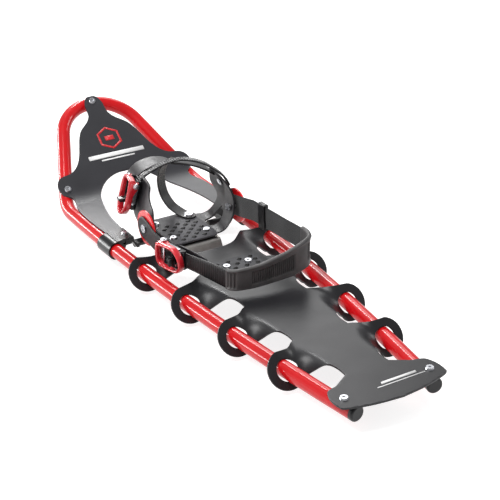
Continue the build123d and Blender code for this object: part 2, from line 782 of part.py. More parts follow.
with BuildPart() as heel_arm_left:
    with BuildSketch():
        with BuildLine():
            Polyline((-arm_mid, DISC_Y + 20), arm_bend, arm_bend + BACK * 63)
        trace(line_width=ARM_T)
    extrude(amount=120)
    with BuildSketch(Plane.YZ):
        with BuildLine():
            Spline(
                (DISC_Y + 17, DISC_Z), (DISC_Y + 8, DISC_Z + 15), (DISC_Y - 8, DISC_Z + 17),
                (36, HEEL_STRAP_Z + 14), (-8, HEEL_STRAP_Z + 12),
            )
            Line((-8, HEEL_STRAP_Z + 12), (-8, HEEL_STRAP_Z - 12))
            Spline(
                (-8, HEEL_STRAP_Z - 12), (36, HEEL_STRAP_Z - 14), (DISC_Y - 8, DISC_Z - 17),
                (DISC_Y + 8, DISC_Z - 15), (DISC_Y + 17, DISC_Z),
            )
        make_face()
    extrude(amount=130, both=True, mode=Mode.INTERSECT)
    add(pin_bore(-1), mode=Mode.SUBTRACT)
save(heel_arm_left.part, "heel_arm_left")

buckle_foot = arm_bend + BACK * 34.8 + OUTWARD * (ARM_T / 2 + 1.4)
heel_plane = Plane(
    origin=(buckle_foot.X, buckle_foot.Y, HEEL_STRAP_Z), x_dir=BACK, z_dir=(0, 0, -1)
)
buckle(heel_plane, "heel")

ladder_in = buckle_foot + OUTWARD * (0.3 + LADDER_T / 2)
with BuildPart() as heel_ladder:
    with BuildSketch(Plane.XY.offset(HEEL_STRAP_Z - LADDER_HALF)):
        with BuildLine():
            Line(ladder_in - BACK * 10, ladder_in + BACK * 128)
        trace(line_width=LADDER_T)
    extrude(amount=2 * LADDER_HALF)
save(heel_ladder.part, "heel_ladder")

# The moulded heel piece bends round the heel and grows taller to the right.
CUP_T = 5.0
cup_start = ladder_in + BACK * 128.4
CUP_END = Vector(79.0, -98, 0)
with BuildLine() as cup_line:
    Spline(
        cup_start, cup_start + BACK * 7, (-40, -122), (-12, -128), (30, -131.5), (62, -131),
        (75.5, -121), (78.6, -108), CUP_END,
    )
with BuildPart() as heel_cup:
    add(ribbon(Plane.XY, cup_line.wires()[0], CUP_T, 160))
    with BuildSketch(Plane.XZ):
        with BuildLine():
            Polyline(
                (-90, 47), (-20, 48), (40, 52), (66, 58), (95, 70), (95, 109), (66, 107),
                (30, 94), (-10, 84), (-50, 80), (-90, 80), close=True,
            )
        make_face()
    extrude(amount=200, both=True, mode=Mode.INTERSECT)
save(heel_cup.part, "heel_cup")

# Webbing from the moulded piece forward to the right rivet.
WEB_H = 34.0
WEB_RISE = 0.048
web_mid = WEB_X + WEB_T / 2
web_start = CUP_END + Vector(0, 0.4, 0)
web_bend = Vector(web_mid, 44, 0)


def web_z(y):
    """Height of the middle of the webbing."""
    return 82.0 - WEB_RISE * y if y < 30 else 80.6 - (y - 30) * 0.22


with BuildPart() as heel_webbing:
    with BuildSketch():
        with BuildLine():
            Polyline(web_start, web_bend, (web_mid, DISC_Y + 19))
        trace(line_width=WEB_T)
    extrude(amount=140)
    with BuildSketch(Plane.YZ):
        with BuildLine():
            Polyline(
                *[(y, web_z(y) + WEB_H / 2) for y in (-110, 29, 60, 96)],
                (102, web_z(102) + WEB_H / 4), (102, web_z(102) - WEB_H / 4),
                *[(y, web_z(y) - WEB_H / 2) for y in (96, 60, 29, -110)], close=True,
            )
        make_face()
    extrude(amount=130, both=True, mode=Mode.INTERSECT)
    add(pin_bore(1), mode=Mode.SUBTRACT)
save(heel_webbing.part, "heel_webbing")

# Ladder-lock slider that moves along the webbing.
web_way = (web_bend - web_start).normalized()
SLIDER_Y = 3.0
slider_mid = web_start + web_way * ((SLIDER_Y - web_start.Y) / web_way.Y)
SLIDE_WAY = Vector(-web_way.X, -web_way.Y, WEB_RISE).normalized()
with BuildPart() as webbing_slider:
    across_web = Plane(
        origin=(slider_mid.X, slider_mid.Y, web_z(SLIDER_Y)),
        x_dir=(web_way.Y, -web_way.X, 0), z_dir=SLIDE_WAY,
    )
    with BuildSketch(across_web.offset(-8)):
        RectangleRounded(8.0, WEB_H + 8, 2.5)
        Rectangle(3.0, WEB_H + 1.2, mode=Mode.SUBTRACT)
    extrude(amount=16)
    with BuildSketch(across_web.offset(-3.5)):
        with Locations((4.6, 0)):
            Rectangle(5, WEB_H - 2)
    extrude(amount=7, mode=Mode.SUBTRACT)
save(webbing_slider.part, "webbing_slider")
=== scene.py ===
import json
from math import cos, pi, radians, sin

import bmesh
import bpy
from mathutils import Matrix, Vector


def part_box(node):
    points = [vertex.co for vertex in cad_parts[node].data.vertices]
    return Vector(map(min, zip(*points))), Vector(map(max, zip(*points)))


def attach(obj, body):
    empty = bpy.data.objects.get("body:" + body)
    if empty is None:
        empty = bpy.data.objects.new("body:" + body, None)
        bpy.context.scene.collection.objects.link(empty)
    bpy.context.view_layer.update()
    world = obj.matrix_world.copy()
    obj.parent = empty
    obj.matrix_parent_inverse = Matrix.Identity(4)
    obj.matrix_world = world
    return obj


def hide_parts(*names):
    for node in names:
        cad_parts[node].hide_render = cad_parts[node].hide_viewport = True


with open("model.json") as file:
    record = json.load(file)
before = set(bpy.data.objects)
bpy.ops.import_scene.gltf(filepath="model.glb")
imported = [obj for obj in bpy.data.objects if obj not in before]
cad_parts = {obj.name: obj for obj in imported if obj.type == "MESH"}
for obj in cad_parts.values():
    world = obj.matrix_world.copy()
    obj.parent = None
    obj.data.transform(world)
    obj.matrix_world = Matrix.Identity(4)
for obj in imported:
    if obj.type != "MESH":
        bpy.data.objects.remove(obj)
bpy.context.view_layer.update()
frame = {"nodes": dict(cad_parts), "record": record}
SCENE = bpy.context.scene


# ---- materials ----------------------------------------------------------
class Shader:
    """Node material with the object's own coordinates, in metres, ready to use."""

    def __init__(self, name, color, roughness, metallic=0.0, coat=0.0, specular=0.5):
        self.material = bpy.data.materials.new(name)
        self.material.use_nodes = True
        self.tree = self.material.node_tree
        self.bsdf = self.tree.nodes["Principled BSDF"]
        self.bsdf.inputs["Base Color"].default_value = (*color, 1)
        self.bsdf.inputs["Roughness"].default_value = roughness
        self.bsdf.inputs["Metallic"].default_value = metallic
        self.bsdf.inputs["Coat Weight"].default_value = coat
        self.bsdf.inputs["Coat Roughness"].default_value = 0.03
        self.bsdf.inputs["Specular IOR Level"].default_value = specular
        self.color = color
        self.roughness = roughness
        self.coords = self.node("ShaderNodeTexCoord").outputs["Object"]
        self.height = None

    def node(self, kind, **settings):
        made = self.tree.nodes.new(kind)
        for key, value in settings.items():
            if key in made.inputs:
                made.inputs[key].default_value = value
            else:
                setattr(made, key, value)
        return made

    def link(self, out, into):
        self.tree.links.new(out, into)

    def mapped(self, scale=(1, 1, 1), turn=(0, 0, 0)):
        mapping = self.node("ShaderNodeMapping")
        mapping.inputs["Scale"].default_value = scale
        mapping.inputs["Rotation"].default_value = turn
        self.link(self.coords, mapping.inputs["Vector"])
        return mapping.outputs["Vector"]

    def noise(self, scale, detail=3.0, stretch=(1, 1, 1)):
        tex = self.node("ShaderNodeTexNoise", Scale=scale, Detail=detail)
        self.link(self.mapped(stretch), tex.inputs["Vector"])
        return tex.outputs["Fac"]

    def ramp(self, fac, low, high, start=0.3, end=0.7):
        ramp = self.node("ShaderNodeValToRGB")
        ramp.color_ramp.elements[0].position = start
        ramp.color_ramp.elements[1].position = end
        ramp.color_ramp.elements[0].color = (*low, 1)
        ramp.color_ramp.elements[1].color = (*high, 1)
        self.link(fac, ramp.inputs["Fac"])
        return ramp.outputs["Color"]

    def tint(self, scale, amount, detail=3.0):
        """Colour that drifts a little lighter and darker."""
        low = tuple(c * (1 - amount) for c in self.color)
        high = tuple(min(1, c * (1 + amount)) for c in self.color)
        self.link(self.ramp(self.noise(scale, detail), low, high), self.bsdf.inputs["Base Color"])
        return self

    def vary_roughness(self, scale, amount, stretch=(1, 1, 1)):
        span = self.node("ShaderNodeMapRange")
        span.inputs["To Min"].default_value = max(0.02, self.roughness - amount)
        span.inputs["To Max"].default_value = min(1, self.roughness + amount)
        self.link(self.noise(scale, 4, stretch), span.inputs["Value"])
        self.link(span.outputs["Result"], self.bsdf.inputs["Roughness"])
        return self

    def bump(self, height, strength, distance):
        made = self.node("ShaderNodeBump", Strength=strength, Distance=distance)
        self.link(height, made.inputs["Height"])
        if self.height:
            self.link(self.height, made.inputs["Normal"])
        self.height = made.outputs["Normal"]
        self.link(self.height, self.bsdf.inputs["Normal"])
        return self

    def grain(self, scale, strength, distance=0.0004, detail=2.0):
        return self.bump(self.noise(scale, detail), strength, distance)

    def leather(self, scale, strength, distance=0.0004):
        cells = self.node("ShaderNodeTexVoronoi", Scale=scale, feature="DISTANCE_TO_EDGE")
        self.link(self.coords, cells.inputs["Vector"])
        return self.bump(cells.outputs["Distance"], strength, distance)


def red_paint():
    s = Shader("red_paint", (0.50, 0.003, 0.006), 0.42, coat=0.55, specular=0.08)
    s.tint(18, 0.10).vary_roughness(60, 0.06)
    return s.grain(900, 0.04, 0.0002).material


def deck_plastic(name, color, roughness):
    s = Shader(name, color, roughness, specular=0.30)
    s.tint(14, 0.14, 5).vary_roughness(35, 0.06)
    return s.grain(1400, 0.10, 0.0002).material


def black_satin(name, color=(0.005, 0.005, 0.006), roughness=0.30):
    s = Shader(name, color, roughness, specular=0.34)
    s.tint(40, 0.25).vary_roughness(80, 0.08)
    return s.grain(1100, 0.12, 0.0002).material


def urethane():
    s = Shader("leathery_urethane", (0.010, 0.009, 0.011), 0.48, specular=0.40)
    s.tint(60, 0.3).vary_roughness(120, 0.1)
    return s.leather(520, 0.35, 0.0003).grain(2600, 0.15, 0.0002).material


def worn_urethane():
    """Black strap whose printed grip face has light flecks near its top."""
    s = Shader("flecked_urethane", (0.012, 0.011, 0.012), 0.5)
    flecks = s.noise(900, 5, (1, 1, 0.6))
    spots = s.ramp(flecks, (0.012, 0.011, 0.012), (0.20, 0.19, 0.16), 0.52, 0.62)
    split = s.node("ShaderNodeSeparateXYZ")
    s.link(s.coords, split.inputs["Vector"])
    height = s.node("ShaderNodeMapRange")
    height.inputs["From Min"].default_value = 0.066
    height.inputs["From Max"].default_value = 0.104
    s.link(split.outputs["Z"], height.inputs["Value"])
    mix = s.node("ShaderNodeMix", data_type="RGBA")
    mix.inputs["A"].default_value = (0.014, 0.013, 0.014, 1)
    s.link(height.outputs["Result"], mix.inputs["Factor"])
    s.link(spots, mix.inputs["B"])
    s.link(mix.outputs["Result"], s.bsdf.inputs["Base Color"])
    s.vary_roughness(120, 0.1)
    return s.leather(420, 0.4, 0.0003).material


def steel(name, color, roughness, stretch=(1, 1, 1)):
    s = Shader(name, color, roughness, metallic=1.0)
    s.tint(120, 0.12).vary_roughness(300, 0.10, stretch)
    return s.bump(s.noise(500, 4, stretch), 0.10, 0.0002).material


def red_plastic(name, color):
    s = Shader(name, color, 0.26, coat=0.5)
    s.tint(50, 0.12).vary_roughness(90, 0.06)
    return s.grain(1200, 0.05, 0.0002).material


def rubber(name, color, roughness=0.55):
    s = Shader(name, color, roughness, specular=0.35)
    s.tint(50, 0.2).vary_roughness(70, 0.08)
    return s.grain(1500, 0.22, 0.0003).material


def woven():
    s = Shader("woven_webbing", (0.006, 0.006, 0.007), 0.8, specular=0.12)
    weft = s.node("ShaderNodeTexWave", Scale=190, Distortion=0.6, bands_direction="Z")
    warp = s.node("ShaderNodeTexWave", Scale=140, Distortion=0.6, bands_direction="Y")
    for wave in (weft, warp):
        s.link(s.coords, wave.inputs["Vector"])
        wave.inputs["Detail Scale"].default_value = 2
    both = s.node("ShaderNodeMath", operation="MULTIPLY")
    s.link(weft.outputs["Fac"], both.inputs[0])
    s.link(warp.outputs["Fac"], both.inputs[1])
    thread = s.ramp(both.outputs["Value"], (0.006, 0.006, 0.007), (0.03, 0.03, 0.032))
    s.link(thread, s.bsdf.inputs["Base Color"])
    s.bsdf.inputs["Sheen Weight"].default_value = 0.3
    return s.bump(both.outputs["Value"], 0.5, 0.0004).material


def studded(name, plate, stud, top_z):
    """Grey plate whose raised studs are black, told apart by height."""
    s = Shader(name, plate, 0.55, specular=0.22)
    split = s.node("ShaderNodeSeparateXYZ")
    s.link(s.coords, split.inputs["Vector"])
    level = s.node("ShaderNodeMath", operation="GREATER_THAN")
    level.inputs[1].default_value = top_z + 0.00015
    s.link(split.outputs["Z"], level.inputs[0])
    mix = s.node("ShaderNodeMix", data_type="RGBA")
    s.link(level.outputs["Value"], mix.inputs["Factor"])
    dark, light = (tuple(c * share for c in plate) for share in (0.8, 1.2))
    s.link(s.ramp(s.noise(60), dark, light), mix.inputs["A"])
    mix.inputs["B"].default_value = (*stud, 1)
    s.link(mix.outputs["Result"], s.bsdf.inputs["Base Color"])
    s.vary_roughness(80, 0.08)
    return s.grain(1500, 0.2, 0.0003).material


def ink(name, color):
    s = Shader(name, color, 0.45, specular=0.3)
    s.tint(60, 0.08).vary_roughness(90, 0.05)
    return s.grain(1400, 0.08, 0.0002).material


RED = red_paint()
MARK_RED = ink("printed_red", (0.50, 0.015, 0.02))
MARK_WHITE = ink("printed_white", (0.72, 0.72, 0.72))
TOE_DECK = deck_plastic("toe_deck_plastic", (0.026, 0.026, 0.030), 0.40)
REAR_DECK = deck_plastic("rear_deck_plastic", (0.015, 0.0148, 0.0168), 0.36)
SATIN = black_satin("black_satin")
HARNESS = urethane()
TONGUE = worn_urethane()
RIVET = steel("bright_steel", (0.52, 0.53, 0.56), 0.28)
STEEL = steel("brushed_steel", (0.50, 0.48, 0.46), 0.34, (1, 30, 1))
DISC = red_plastic("red_disc", (0.70, 0.01, 0.015))
LEVER = red_plastic("red_lever", (0.52, 0.012, 0.022))
RUBBER = rubber("heel_rubber", (0.062, 0.059, 0.060))
LADDER = rubber("ladder_urethane", (0.007, 0.007, 0.008), 0.40)
WEBBING = woven()
pad_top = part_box("toe_pad")[0][2] + 0.0025
heel_plate_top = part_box("heel_pad")[0][2] + 0.006
TOE_PAD = studded("toe_pad_plate", (0.045, 0.044, 0.050), (0.006, 0.006, 0.006), pad_top)
HEEL_PAD = studded("heel_pad_plate", (0.036, 0.036, 0.040), (0.006, 0.006, 0.006), heel_plate_top)

SLOT_MATERIAL = {
    "tube": RED, "cap": SATIN, "toe_deck": TOE_DECK, "rear_deck": REAR_DECK, "wrap": SATIN,
    "pivot_strap": SATIN, "rivet": RIVET, "rod": STEEL, "heel_pad": HEEL_PAD, "toe_pad": TOE_PAD,
    "crampon": STEEL, "harness": HARNESS, "ladder": LADDER, "disc": DISC, "lever": LEVER,
    "release": SATIN, "buckle_steel": RIVET, "heel_cup": RUBBER, "webbing": WEBBING,
    "slider": SATIN,
}
ROUNDED = {
    "toe_deck": 0.0008, "arm_wrap_left": 0.0012, "arm_wrap_right": 0.0012, "wing_left": 0.0008,
    "wing_right": 0.0008, "instep_lever": 0.0008, "heel_lever": 0.0008, "instep_band": 0.0008,
    "toe_band": 0.0008, "tongue_strap": 0.0008, "heel_arm_left": 0.0008, "pivot_disc_left": 0.0009,
    "pivot_disc_right": 0.0009, "toe_crampon": 0.0005, "heel_cup": 0.0012,
    "instep_release": 0.0005, "heel_release": 0.0005, "webbing_slider": 0.0008,
    "instep_buckle_base": 0.0004, "heel_buckle_base": 0.0004, "rear_deck": 0.0008,
    "pivot_strap_left": 0.0008, "pivot_strap_right": 0.0008, "toe_pad": 0.0004,
}


def dress(node, material, rounding=0.0):
    """Give a CAD node its material and, where it has sharp moulded edges, a small bevel."""
    obj = frame["nodes"][node]
    obj.data.materials.clear()
    obj.data.materials.append(material)
    if rounding:
        bevel = obj.modifiers.new("soft_edges", "BEVEL")
        bevel.width = rounding
        bevel.segments = 2
        bevel.limit_method = "ANGLE"
        bevel.angle_limit = radians(50)
    return obj


for entry in frame["record"]["subparts"]:
    dress(entry["node"], SLOT_MATERIAL[entry["material_slot"]], ROUNDED.get(entry["node"], 0.0))


# ---- shapes made here ---------------------------------------------------
MM = 0.001


def new_object(name, mesh, material, body):
    obj = bpy.data.objects.new(name, mesh)
    SCENE.collection.objects.link(obj)
    mesh.materials.append(material)
    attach(obj, body)
    return obj


def smooth(mesh):
    for face in mesh.polygons:
        face.use_smooth = True


def crisp(obj, angle=40):
    """Keep real edges crisp on a smooth shaded piece."""
    split = obj.modifiers.new("crisp_edges", "EDGE_SPLIT")
    split.split_angle = radians(angle)


def ease(value):
    value = min(1.0, max(0.0, value))
    return value * value * (3 - 2 * value)


def spline_points(points, per_span=8):
    """Smooth open curve through points, as a list of vectors."""
    out = []
    size = len(points)
    for i in range(size - 1):
        p0 = Vector(points[max(i - 1, 0)])
        p1 = Vector(points[i])
        p2 = Vector(points[i + 1])
        p3 = Vector(points[min(i + 2, size - 1)])
        for step in range(per_span):
            t = step / per_span
            out.append(
                0.5 * (2 * p1 + (p2 - p0) * t + (2 * p0 - 5 * p1 + 4 * p2 - p3) * t * t
                       + (3 * p1 - p0 - 3 * p2 + p3) * t * t * t)
            )
    out.append(Vector(points[-1]))
    return out


# ---- rear deck: one flat sheet whose ears are twisted round the tubes ----
SHEET = 2.5
TUBE_R = 11.0
DECK_MID = (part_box("heel_pad")[0][2] / MM - 0.1) - SHEET / 2
TUBE_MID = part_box("frame_tube")[0][2] / MM + TUBE_R
EAR_STATIONS = (26.0, -88.0, -198.0, -302.0)
EAR_R = 27.0
EAR_HOLE_R = 15.6
EAR_LEAN = radians(54)
EAR_SPAN = 55.0          # beyond this from a station the deck stays flat
LOBE_FRONT = 26.0        # from a station to the ear's front edge, at the lobe
ROOT_FRONT = 46.0        # and where the ear leaves the deck
TIP_X = (58.0, 53.0, 46.0, 36.0)   # inner end of the opening behind each ear
SIDE_RADIUS = 4366.0     # long gentle taper of the two sides
TAPER_Y = 268.0          # where the taper starts
HALF_WIDTH = 116.0


def tube_x(y):
    """Half width of the frame at a station on the flat part."""
    return HALF_WIDTH - (SIDE_RADIUS - (SIDE_RADIUS ** 2 - (TAPER_Y - y) ** 2) ** 0.5)


def ear_outline(station, tip):
    """Right-hand outline of one ear, from its front edge round the lobe to the opening behind."""
    centre = tube_x(station)
    points = []
    for step in range(36):
        angle = radians(74 - step * 206 / 35)
        points.append(Vector((centre + EAR_R * cos(angle), station + EAR_R * sin(angle))))
    neck = points[-1]
    points += spline_points([
        neck, (neck[0] - 6, station - 22.0), ((neck[0] + tip) / 2 + 1, station - 25.0),
        (tip + 5.0, station - 30), (tip - 0.5, station - 37), (tip - 3.0, station - 47),
        (tip - 3.2, station - 57), (tip - 2.5, station - 66),
    ], 6)[1:]
    return points


def deck_half():
    """Right-hand outline of the deck, from mid front round to mid tail."""
    outline = spline_points([(0, 20.5), (20, 21), (38, 26.5), (52, 38.5), (66, 53)], 6)
    for station, tip in zip(EAR_STATIONS, TIP_X):
        ear = ear_outline(station, tip)
        root = outline[-1]
        outline += [root.lerp(ear[0], k / 6) for k in range(1, 6)] + ear
    outline += spline_points([
        (tube_x(-385) - 8, -383.5), (74, -388), (79.5, -397), (82, -408), (81.5, -422), (76, -430),
        (40, -439.5), (0, -444.0),
    ], 5)
    return outline


def curl(point):
    """Twist the ears out of the flat pattern: the front edge goes up, the back edge goes under."""
    x, y = point
    station = min(EAR_STATIONS, key=lambda s: abs(y - s))
    offset = y - station
    if abs(offset) > EAR_SPAN:
        return Vector((x, y, DECK_MID))
    rank = EAR_STATIONS.index(station)
    tip = TIP_X[rank] + (TIP_X[max(0, rank - 1)] - TIP_X[rank]) * ease((offset + 5) / 40)
    reach = tube_x(station) - 8.0 - tip
    share = ease((abs(x) - tip + 0.5) / reach)
    across = min(1.0, max(0.0, (abs(x) - tip) / (reach + 15.0)))
    front = ROOT_FRONT - (ROOT_FRONT - LOBE_FRONT) * across
    narrow = LOBE_FRONT / front if offset > 0 else 1.0
    rise = TUBE_MID - DECK_MID + offset * narrow * sin(EAR_LEAN)
    back = offset * (1 - cos(EAR_LEAN))
    return Vector((x, y - share * back, DECK_MID + share * rise))


def cut_sheet(outline, holes, step, fold):
    """Mesh of a flat outline with holes, cut into fine strips and folded into place (mm in)."""
    sheet = bmesh.new()
    for points in [outline, *holes]:
        verts = [sheet.verts.new((p[0], p[1], 0)) for p in points]
        for k, vert in enumerate(verts):
            sheet.edges.new((vert, verts[(k + 1) % len(verts)]))
    bmesh.ops.triangle_fill(sheet, use_beauty=True, edges=sheet.edges[:], normal=(0, 0, 1))
    for axis in (0, 1):
        low = min(p[axis] for p in outline)
        high = max(p[axis] for p in outline)
        count = int((high - low) / step)
        for k in range(1, count + 1):
            place = [0.0, 0.0, 0.0]
            way = [0.0, 0.0, 0.0]
            place[axis] = low + (high - low) * k / (count + 1)
            way[axis] = 1.0
            bmesh.ops.bisect_plane(
                sheet, geom=sheet.verts[:] + sheet.edges[:] + sheet.faces[:], plane_co=place,
                plane_no=way, dist=0.0005,
            )
    for vert in sheet.verts:
        vert.co = Vector(fold((vert.co.x, vert.co.y))) * MM
    bmesh.ops.recalc_face_normals(sheet, faces=sheet.faces)
    mesh = bpy.data.meshes.new("sheet")
    sheet.to_mesh(mesh)
    sheet.free()
    smooth(mesh)
    return mesh


def thicken(obj, thickness, rounding):
    solid = obj.modifiers.new("thickness", "SOLIDIFY")
    solid.thickness = thickness * MM
    solid.offset = 0
    bevel = obj.modifiers.new("rounded_rim", "BEVEL")
    bevel.width = rounding * MM
    bevel.segments = 2
    bevel.limit_method = "ANGLE"
    bevel.angle_limit = radians(50)
    crisp(obj, 55)


def rear_deck():
    half = deck_half()
    outline = half + [Vector((-p[0], p[1])) for p in reversed(half[1:-1])]
    holes = [
        [
            (side * (tube_x(station) - 1.0) + EAR_HOLE_R * cos(radians(a)),
             station + EAR_HOLE_R * sin(radians(a)))
            for a in range(0, 360, 10)
        ]
        for station in EAR_STATIONS for side in (-1, 1)
    ]
    obj = new_object(
        "rear_deck_sheet", cut_sheet(outline, holes, 3.2, curl), REAR_DECK, "frame"
    )
    thicken(obj, SHEET, 0.5)
    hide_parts("rear_deck")


rear_deck()


# ---- harness: curved sheets, turned a little to the right ----------------
HARNESS_TURN = radians(11.0)
HARNESS_Y = 90.0
AHEAD = Vector((sin(HARNESS_TURN), cos(HARNESS_TURN), 0))
ACROSS = Vector((cos(HARNESS_TURN), -sin(HARNESS_TURN), 0))
UP = Vector((0, 0, 1))
HARNESS_SHEET = 2.6
WING_MID_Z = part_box("wing_left")[0][2] / MM + HARNESS_SHEET / 2
WING_FOOT = 30.5         # outline points below this are the sheet's edge under the pad
WINDOW_FOOT = 14.0       # from that edge to a window's lower side
DISC_Z = 68.5


def harness_point(across, ahead, up):
    """Place in the harness's own directions."""
    return Vector((0, HARNESS_Y, 0)) + ACROSS * across + AHEAD * ahead + UP * up


class Run:
    """Curve through 2-D points, walked by its length."""

    def __init__(self, points, per_span=10):
        self.points = spline_points(points, per_span)
        self.at = [0.0]
        for a, b in zip(self.points, self.points[1:]):
            self.at.append(self.at[-1] + (b - a).length)
        self.length = self.at[-1]

    def place(self, along):
        along = min(max(along, 0.0), self.length)
        for k in range(len(self.at) - 1):
            if along <= self.at[k + 1]:
                part = (along - self.at[k]) / (self.at[k + 1] - self.at[k])
                return self.points[k].lerp(self.points[k + 1], part)
        return self.points[-1]

    def way(self, along):
        return (self.place(along + 0.6) - self.place(along - 0.6)).normalized()

    def reach(self, index, value):
        """Length at which one coordinate first passes a value."""
        for k in range(len(self.points) - 1):
            a, b = self.points[k][index], self.points[k + 1][index]
            if min(a, b) <= value <= max(a, b) and a != b:
                return self.at[k] + (self.at[k + 1] - self.at[k]) * (value - a) / (b - a)
        near_start = abs(value - self.points[0][index]) < abs(value - self.points[-1][index])
        return 0.0 if near_start else self.length


def rounded(points, times=3):
    """Outline with its corners cut round."""
    for _ in range(times):
        cut = []
        for k, p in enumerate(points):
            q = points[(k + 1) % len(points)]
            cut.append((p[0] * 0.8 + q[0] * 0.2, p[1] * 0.8 + q[1] * 0.2))
            cut.append((p[0] * 0.2 + q[0] * 0.8, p[1] * 0.2 + q[1] * 0.8))
        points = cut
    return points


LEFT_CURVE = [
    (-24, WING_MID_Z), (-36, WING_MID_Z), (-51, WING_MID_Z), (-61.5, 38), (-67, 49),
    (-68.6, 62), (-66.2, 80), (-60.8, 98), (-54.5, 117),
]
RIGHT_CURVE = [
    (24, WING_MID_Z), (34, WING_MID_Z), (44, WING_MID_Z), (54, 36.5), (61, 46), (66.5, 59),
    (69, 72), (69.5, 84), (67, 97), (60, 110), (49, 121), (40, 126),
]
LEFT_WING = [
    (-27, 30), (-32, 44), (-34, 58), (-32, 80), (-20, 92), (2, 97), (14, 104), (20, 117),
    (66, 117), (76, 104), (76, 84), (68, 64), (62, 46), (58, 30),
]
RIGHT_WING = [
    (-2, 30), (-6, 45), (-9, 56), (-8, 80), (0, 98), (8, 112), (16, 122), (42, 122),
    (62, 108), (72, 92), (68, 76), (62, 60), (66, 46), (70, 36), (72, 30),
]
LEFT_WINDOW = [(4, 31), (36, 31), (30, 46), (21, 57), (15, 57), (7, 46)]
RIGHT_WINDOW = [(20, 31), (49, 31), (46, 46), (38, 57), (30, 57), (21, 46)]


def wing(name, curve, outline, window, pull=0.0):
    """One side of the harness, cut from its outline and bent up round the boot.

    Towards the toe the upper part is pulled in over the foot.
    """
    run = Run(curve)

    def along(z):
        if z > WING_MID_Z + 0.5:
            return run.reach(1, z)
        return 0.0 if z < WING_FOOT else WINDOW_FOOT

    def flat(points):
        return rounded([(ahead, along(z)) for ahead, z in points])

    def fold(point):
        spot = run.place(point[1])
        inward = pull * max(0.0, point[0] - 34) * ease((spot[1] - 60) / 30)
        return harness_point(spot[0] - inward, point[0], spot[1])

    obj = new_object(
        name + "_moulded", cut_sheet(flat(outline), [flat(window)], 2.6, fold),
        HARNESS, "binding",
    )
    thicken(obj, HARNESS_SHEET, 0.8)
    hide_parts(name)
    return run


wing("wing_left", LEFT_CURVE, LEFT_WING, LEFT_WINDOW)
right_run = wing("wing_right", RIGHT_CURVE, RIGHT_WING, RIGHT_WINDOW, pull=0.30)


FACE_STEPS = 10


def sweep(name, stations, material, body, replaced=()):
    """Strap from stations (place, face normal, width way, low half, high half, thickness, lift).

    The section is a flat bar with rounded edges; lift raises the middle of its outer face.
    """
    mesh = bmesh.new()
    rings = []
    profile = [(-1.0, -0.45), (-0.975, -0.85), (-0.93, -1.0)]
    profile += [(-0.93 + 1.86 * k / FACE_STEPS, -1.0) for k in range(1, FACE_STEPS)]
    profile += [(0.93, -1.0), (0.975, -0.85), (1.0, -0.45)]
    profile += [(w, -n) for w, n in reversed(profile)]
    for place, normal, wide, low, high, thick, lift in stations:
        ring = []
        for w, n in profile:
            across = w * (high if w > 0 else low)
            rise = n * thick / 2
            if n > 0 and abs(w) < 0.80:
                rise += lift
            ring.append(mesh.verts.new((place + wide * across + normal * rise) * MM))
        rings.append(ring)
    for a, b in zip(rings, rings[1:]):
        for k in range(len(a)):
            n = (k + 1) % len(a)
            mesh.faces.new((a[k], a[n], b[n], b[k]))
    mesh.faces.new(list(reversed(rings[0])))
    mesh.faces.new(rings[-1])
    bmesh.ops.recalc_face_normals(mesh, faces=mesh.faces)
    data = bpy.data.meshes.new(name)
    mesh.to_mesh(data)
    mesh.free()
    smooth(data)
    obj = new_object(name, data, material, body)
    crisp(obj, 48)
    if replaced:
        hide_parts(*replaced)
    return obj


def rounded_end(from_end, half):
    """Share of the half width left at a distance from a strap's round end."""
    if from_end >= half:
        return 1.0
    return max(0.05, 1 - (1 - from_end / half) ** 2) ** 0.5


INSTEP_PITCH = 3.4       # from one ladder tooth to the next


def over_foot(name, replaced, curve, edges, thickness, material, teeth=0.0):
    """Strap across the foot: a curve in the harness section, between two edges given by across.

    teeth is how far a ladder's teeth stand up; a plain strap has none.
    """
    run = Run(curve)
    count = int(run.length / (0.6 if teeth else 2.2))
    stations = []
    for k in range(count + 1):
        along = run.length * k / count
        spot = run.place(along)
        way = run.way(along)
        behind, ahead = edges(spot[0])
        mid = (behind + ahead) / 2
        half = (ahead - behind) / 2
        half *= min(rounded_end(along, half), rounded_end(run.length - along, half))
        normal = ACROSS * -way[1] + UP * way[0]
        lift = teeth * (0.5 + 0.5 * cos(along * 2 * pi / INSTEP_PITCH))
        place = harness_point(spot[0], mid, spot[1])
        stations.append((place, normal, AHEAD, half, half, thickness, lift))
    sweep(name, stations, material, "binding", replaced)


def between(table):
    """Edges of a strap as a function of across, straight between (across, behind, ahead) rows."""
    def look(across):
        for a, b in zip(table, table[1:]):
            if across <= b[0]:
                part = min(1.0, max(0.0, (across - a[0]) / (b[0] - a[0])))
                return a[1] + (b[1] - a[1]) * part, a[2] + (b[2] - a[2]) * part
        return table[-1][1], table[-1][2]
    return look


BUCKLE_AHEAD = 54.0      # where the CAD has the instep buckle
BUCKLE_SHIFT = 5.5       # further ahead along the lever's pin, so the joint's axis stays
BUCKLE_DOWN = Vector((-0.25, -0.968)).normalized()
BUCKLE_OUT = Vector((BUCKLE_DOWN[1], -BUCKLE_DOWN[0]))
buckle_spot = Vector((-63.5, 107.5))
ladder_run = [buckle_spot + BUCKLE_OUT * 1.5 + BUCKLE_DOWN * along for along in (39, 24, 12, 3)]
over_foot(
    "instep_ladder_strap", ("instep_ladder",),
    [*[tuple(p) for p in ladder_run], (-58.5, 112.5), (-46, 122.5), (-22, 136), (4, 142.5),
     (30, 138), (51.5, 124.5), (63, 112.5), (70, 99)],
    between([
        (-80, 54, 70), (-64, 54, 70), (-52, 53, 64), (-20, 45, 57), (0, 38, 50), (50, 14, 30),
        (74, 10, 25),
    ]),
    2.4, LADDER, teeth=0.9,
)
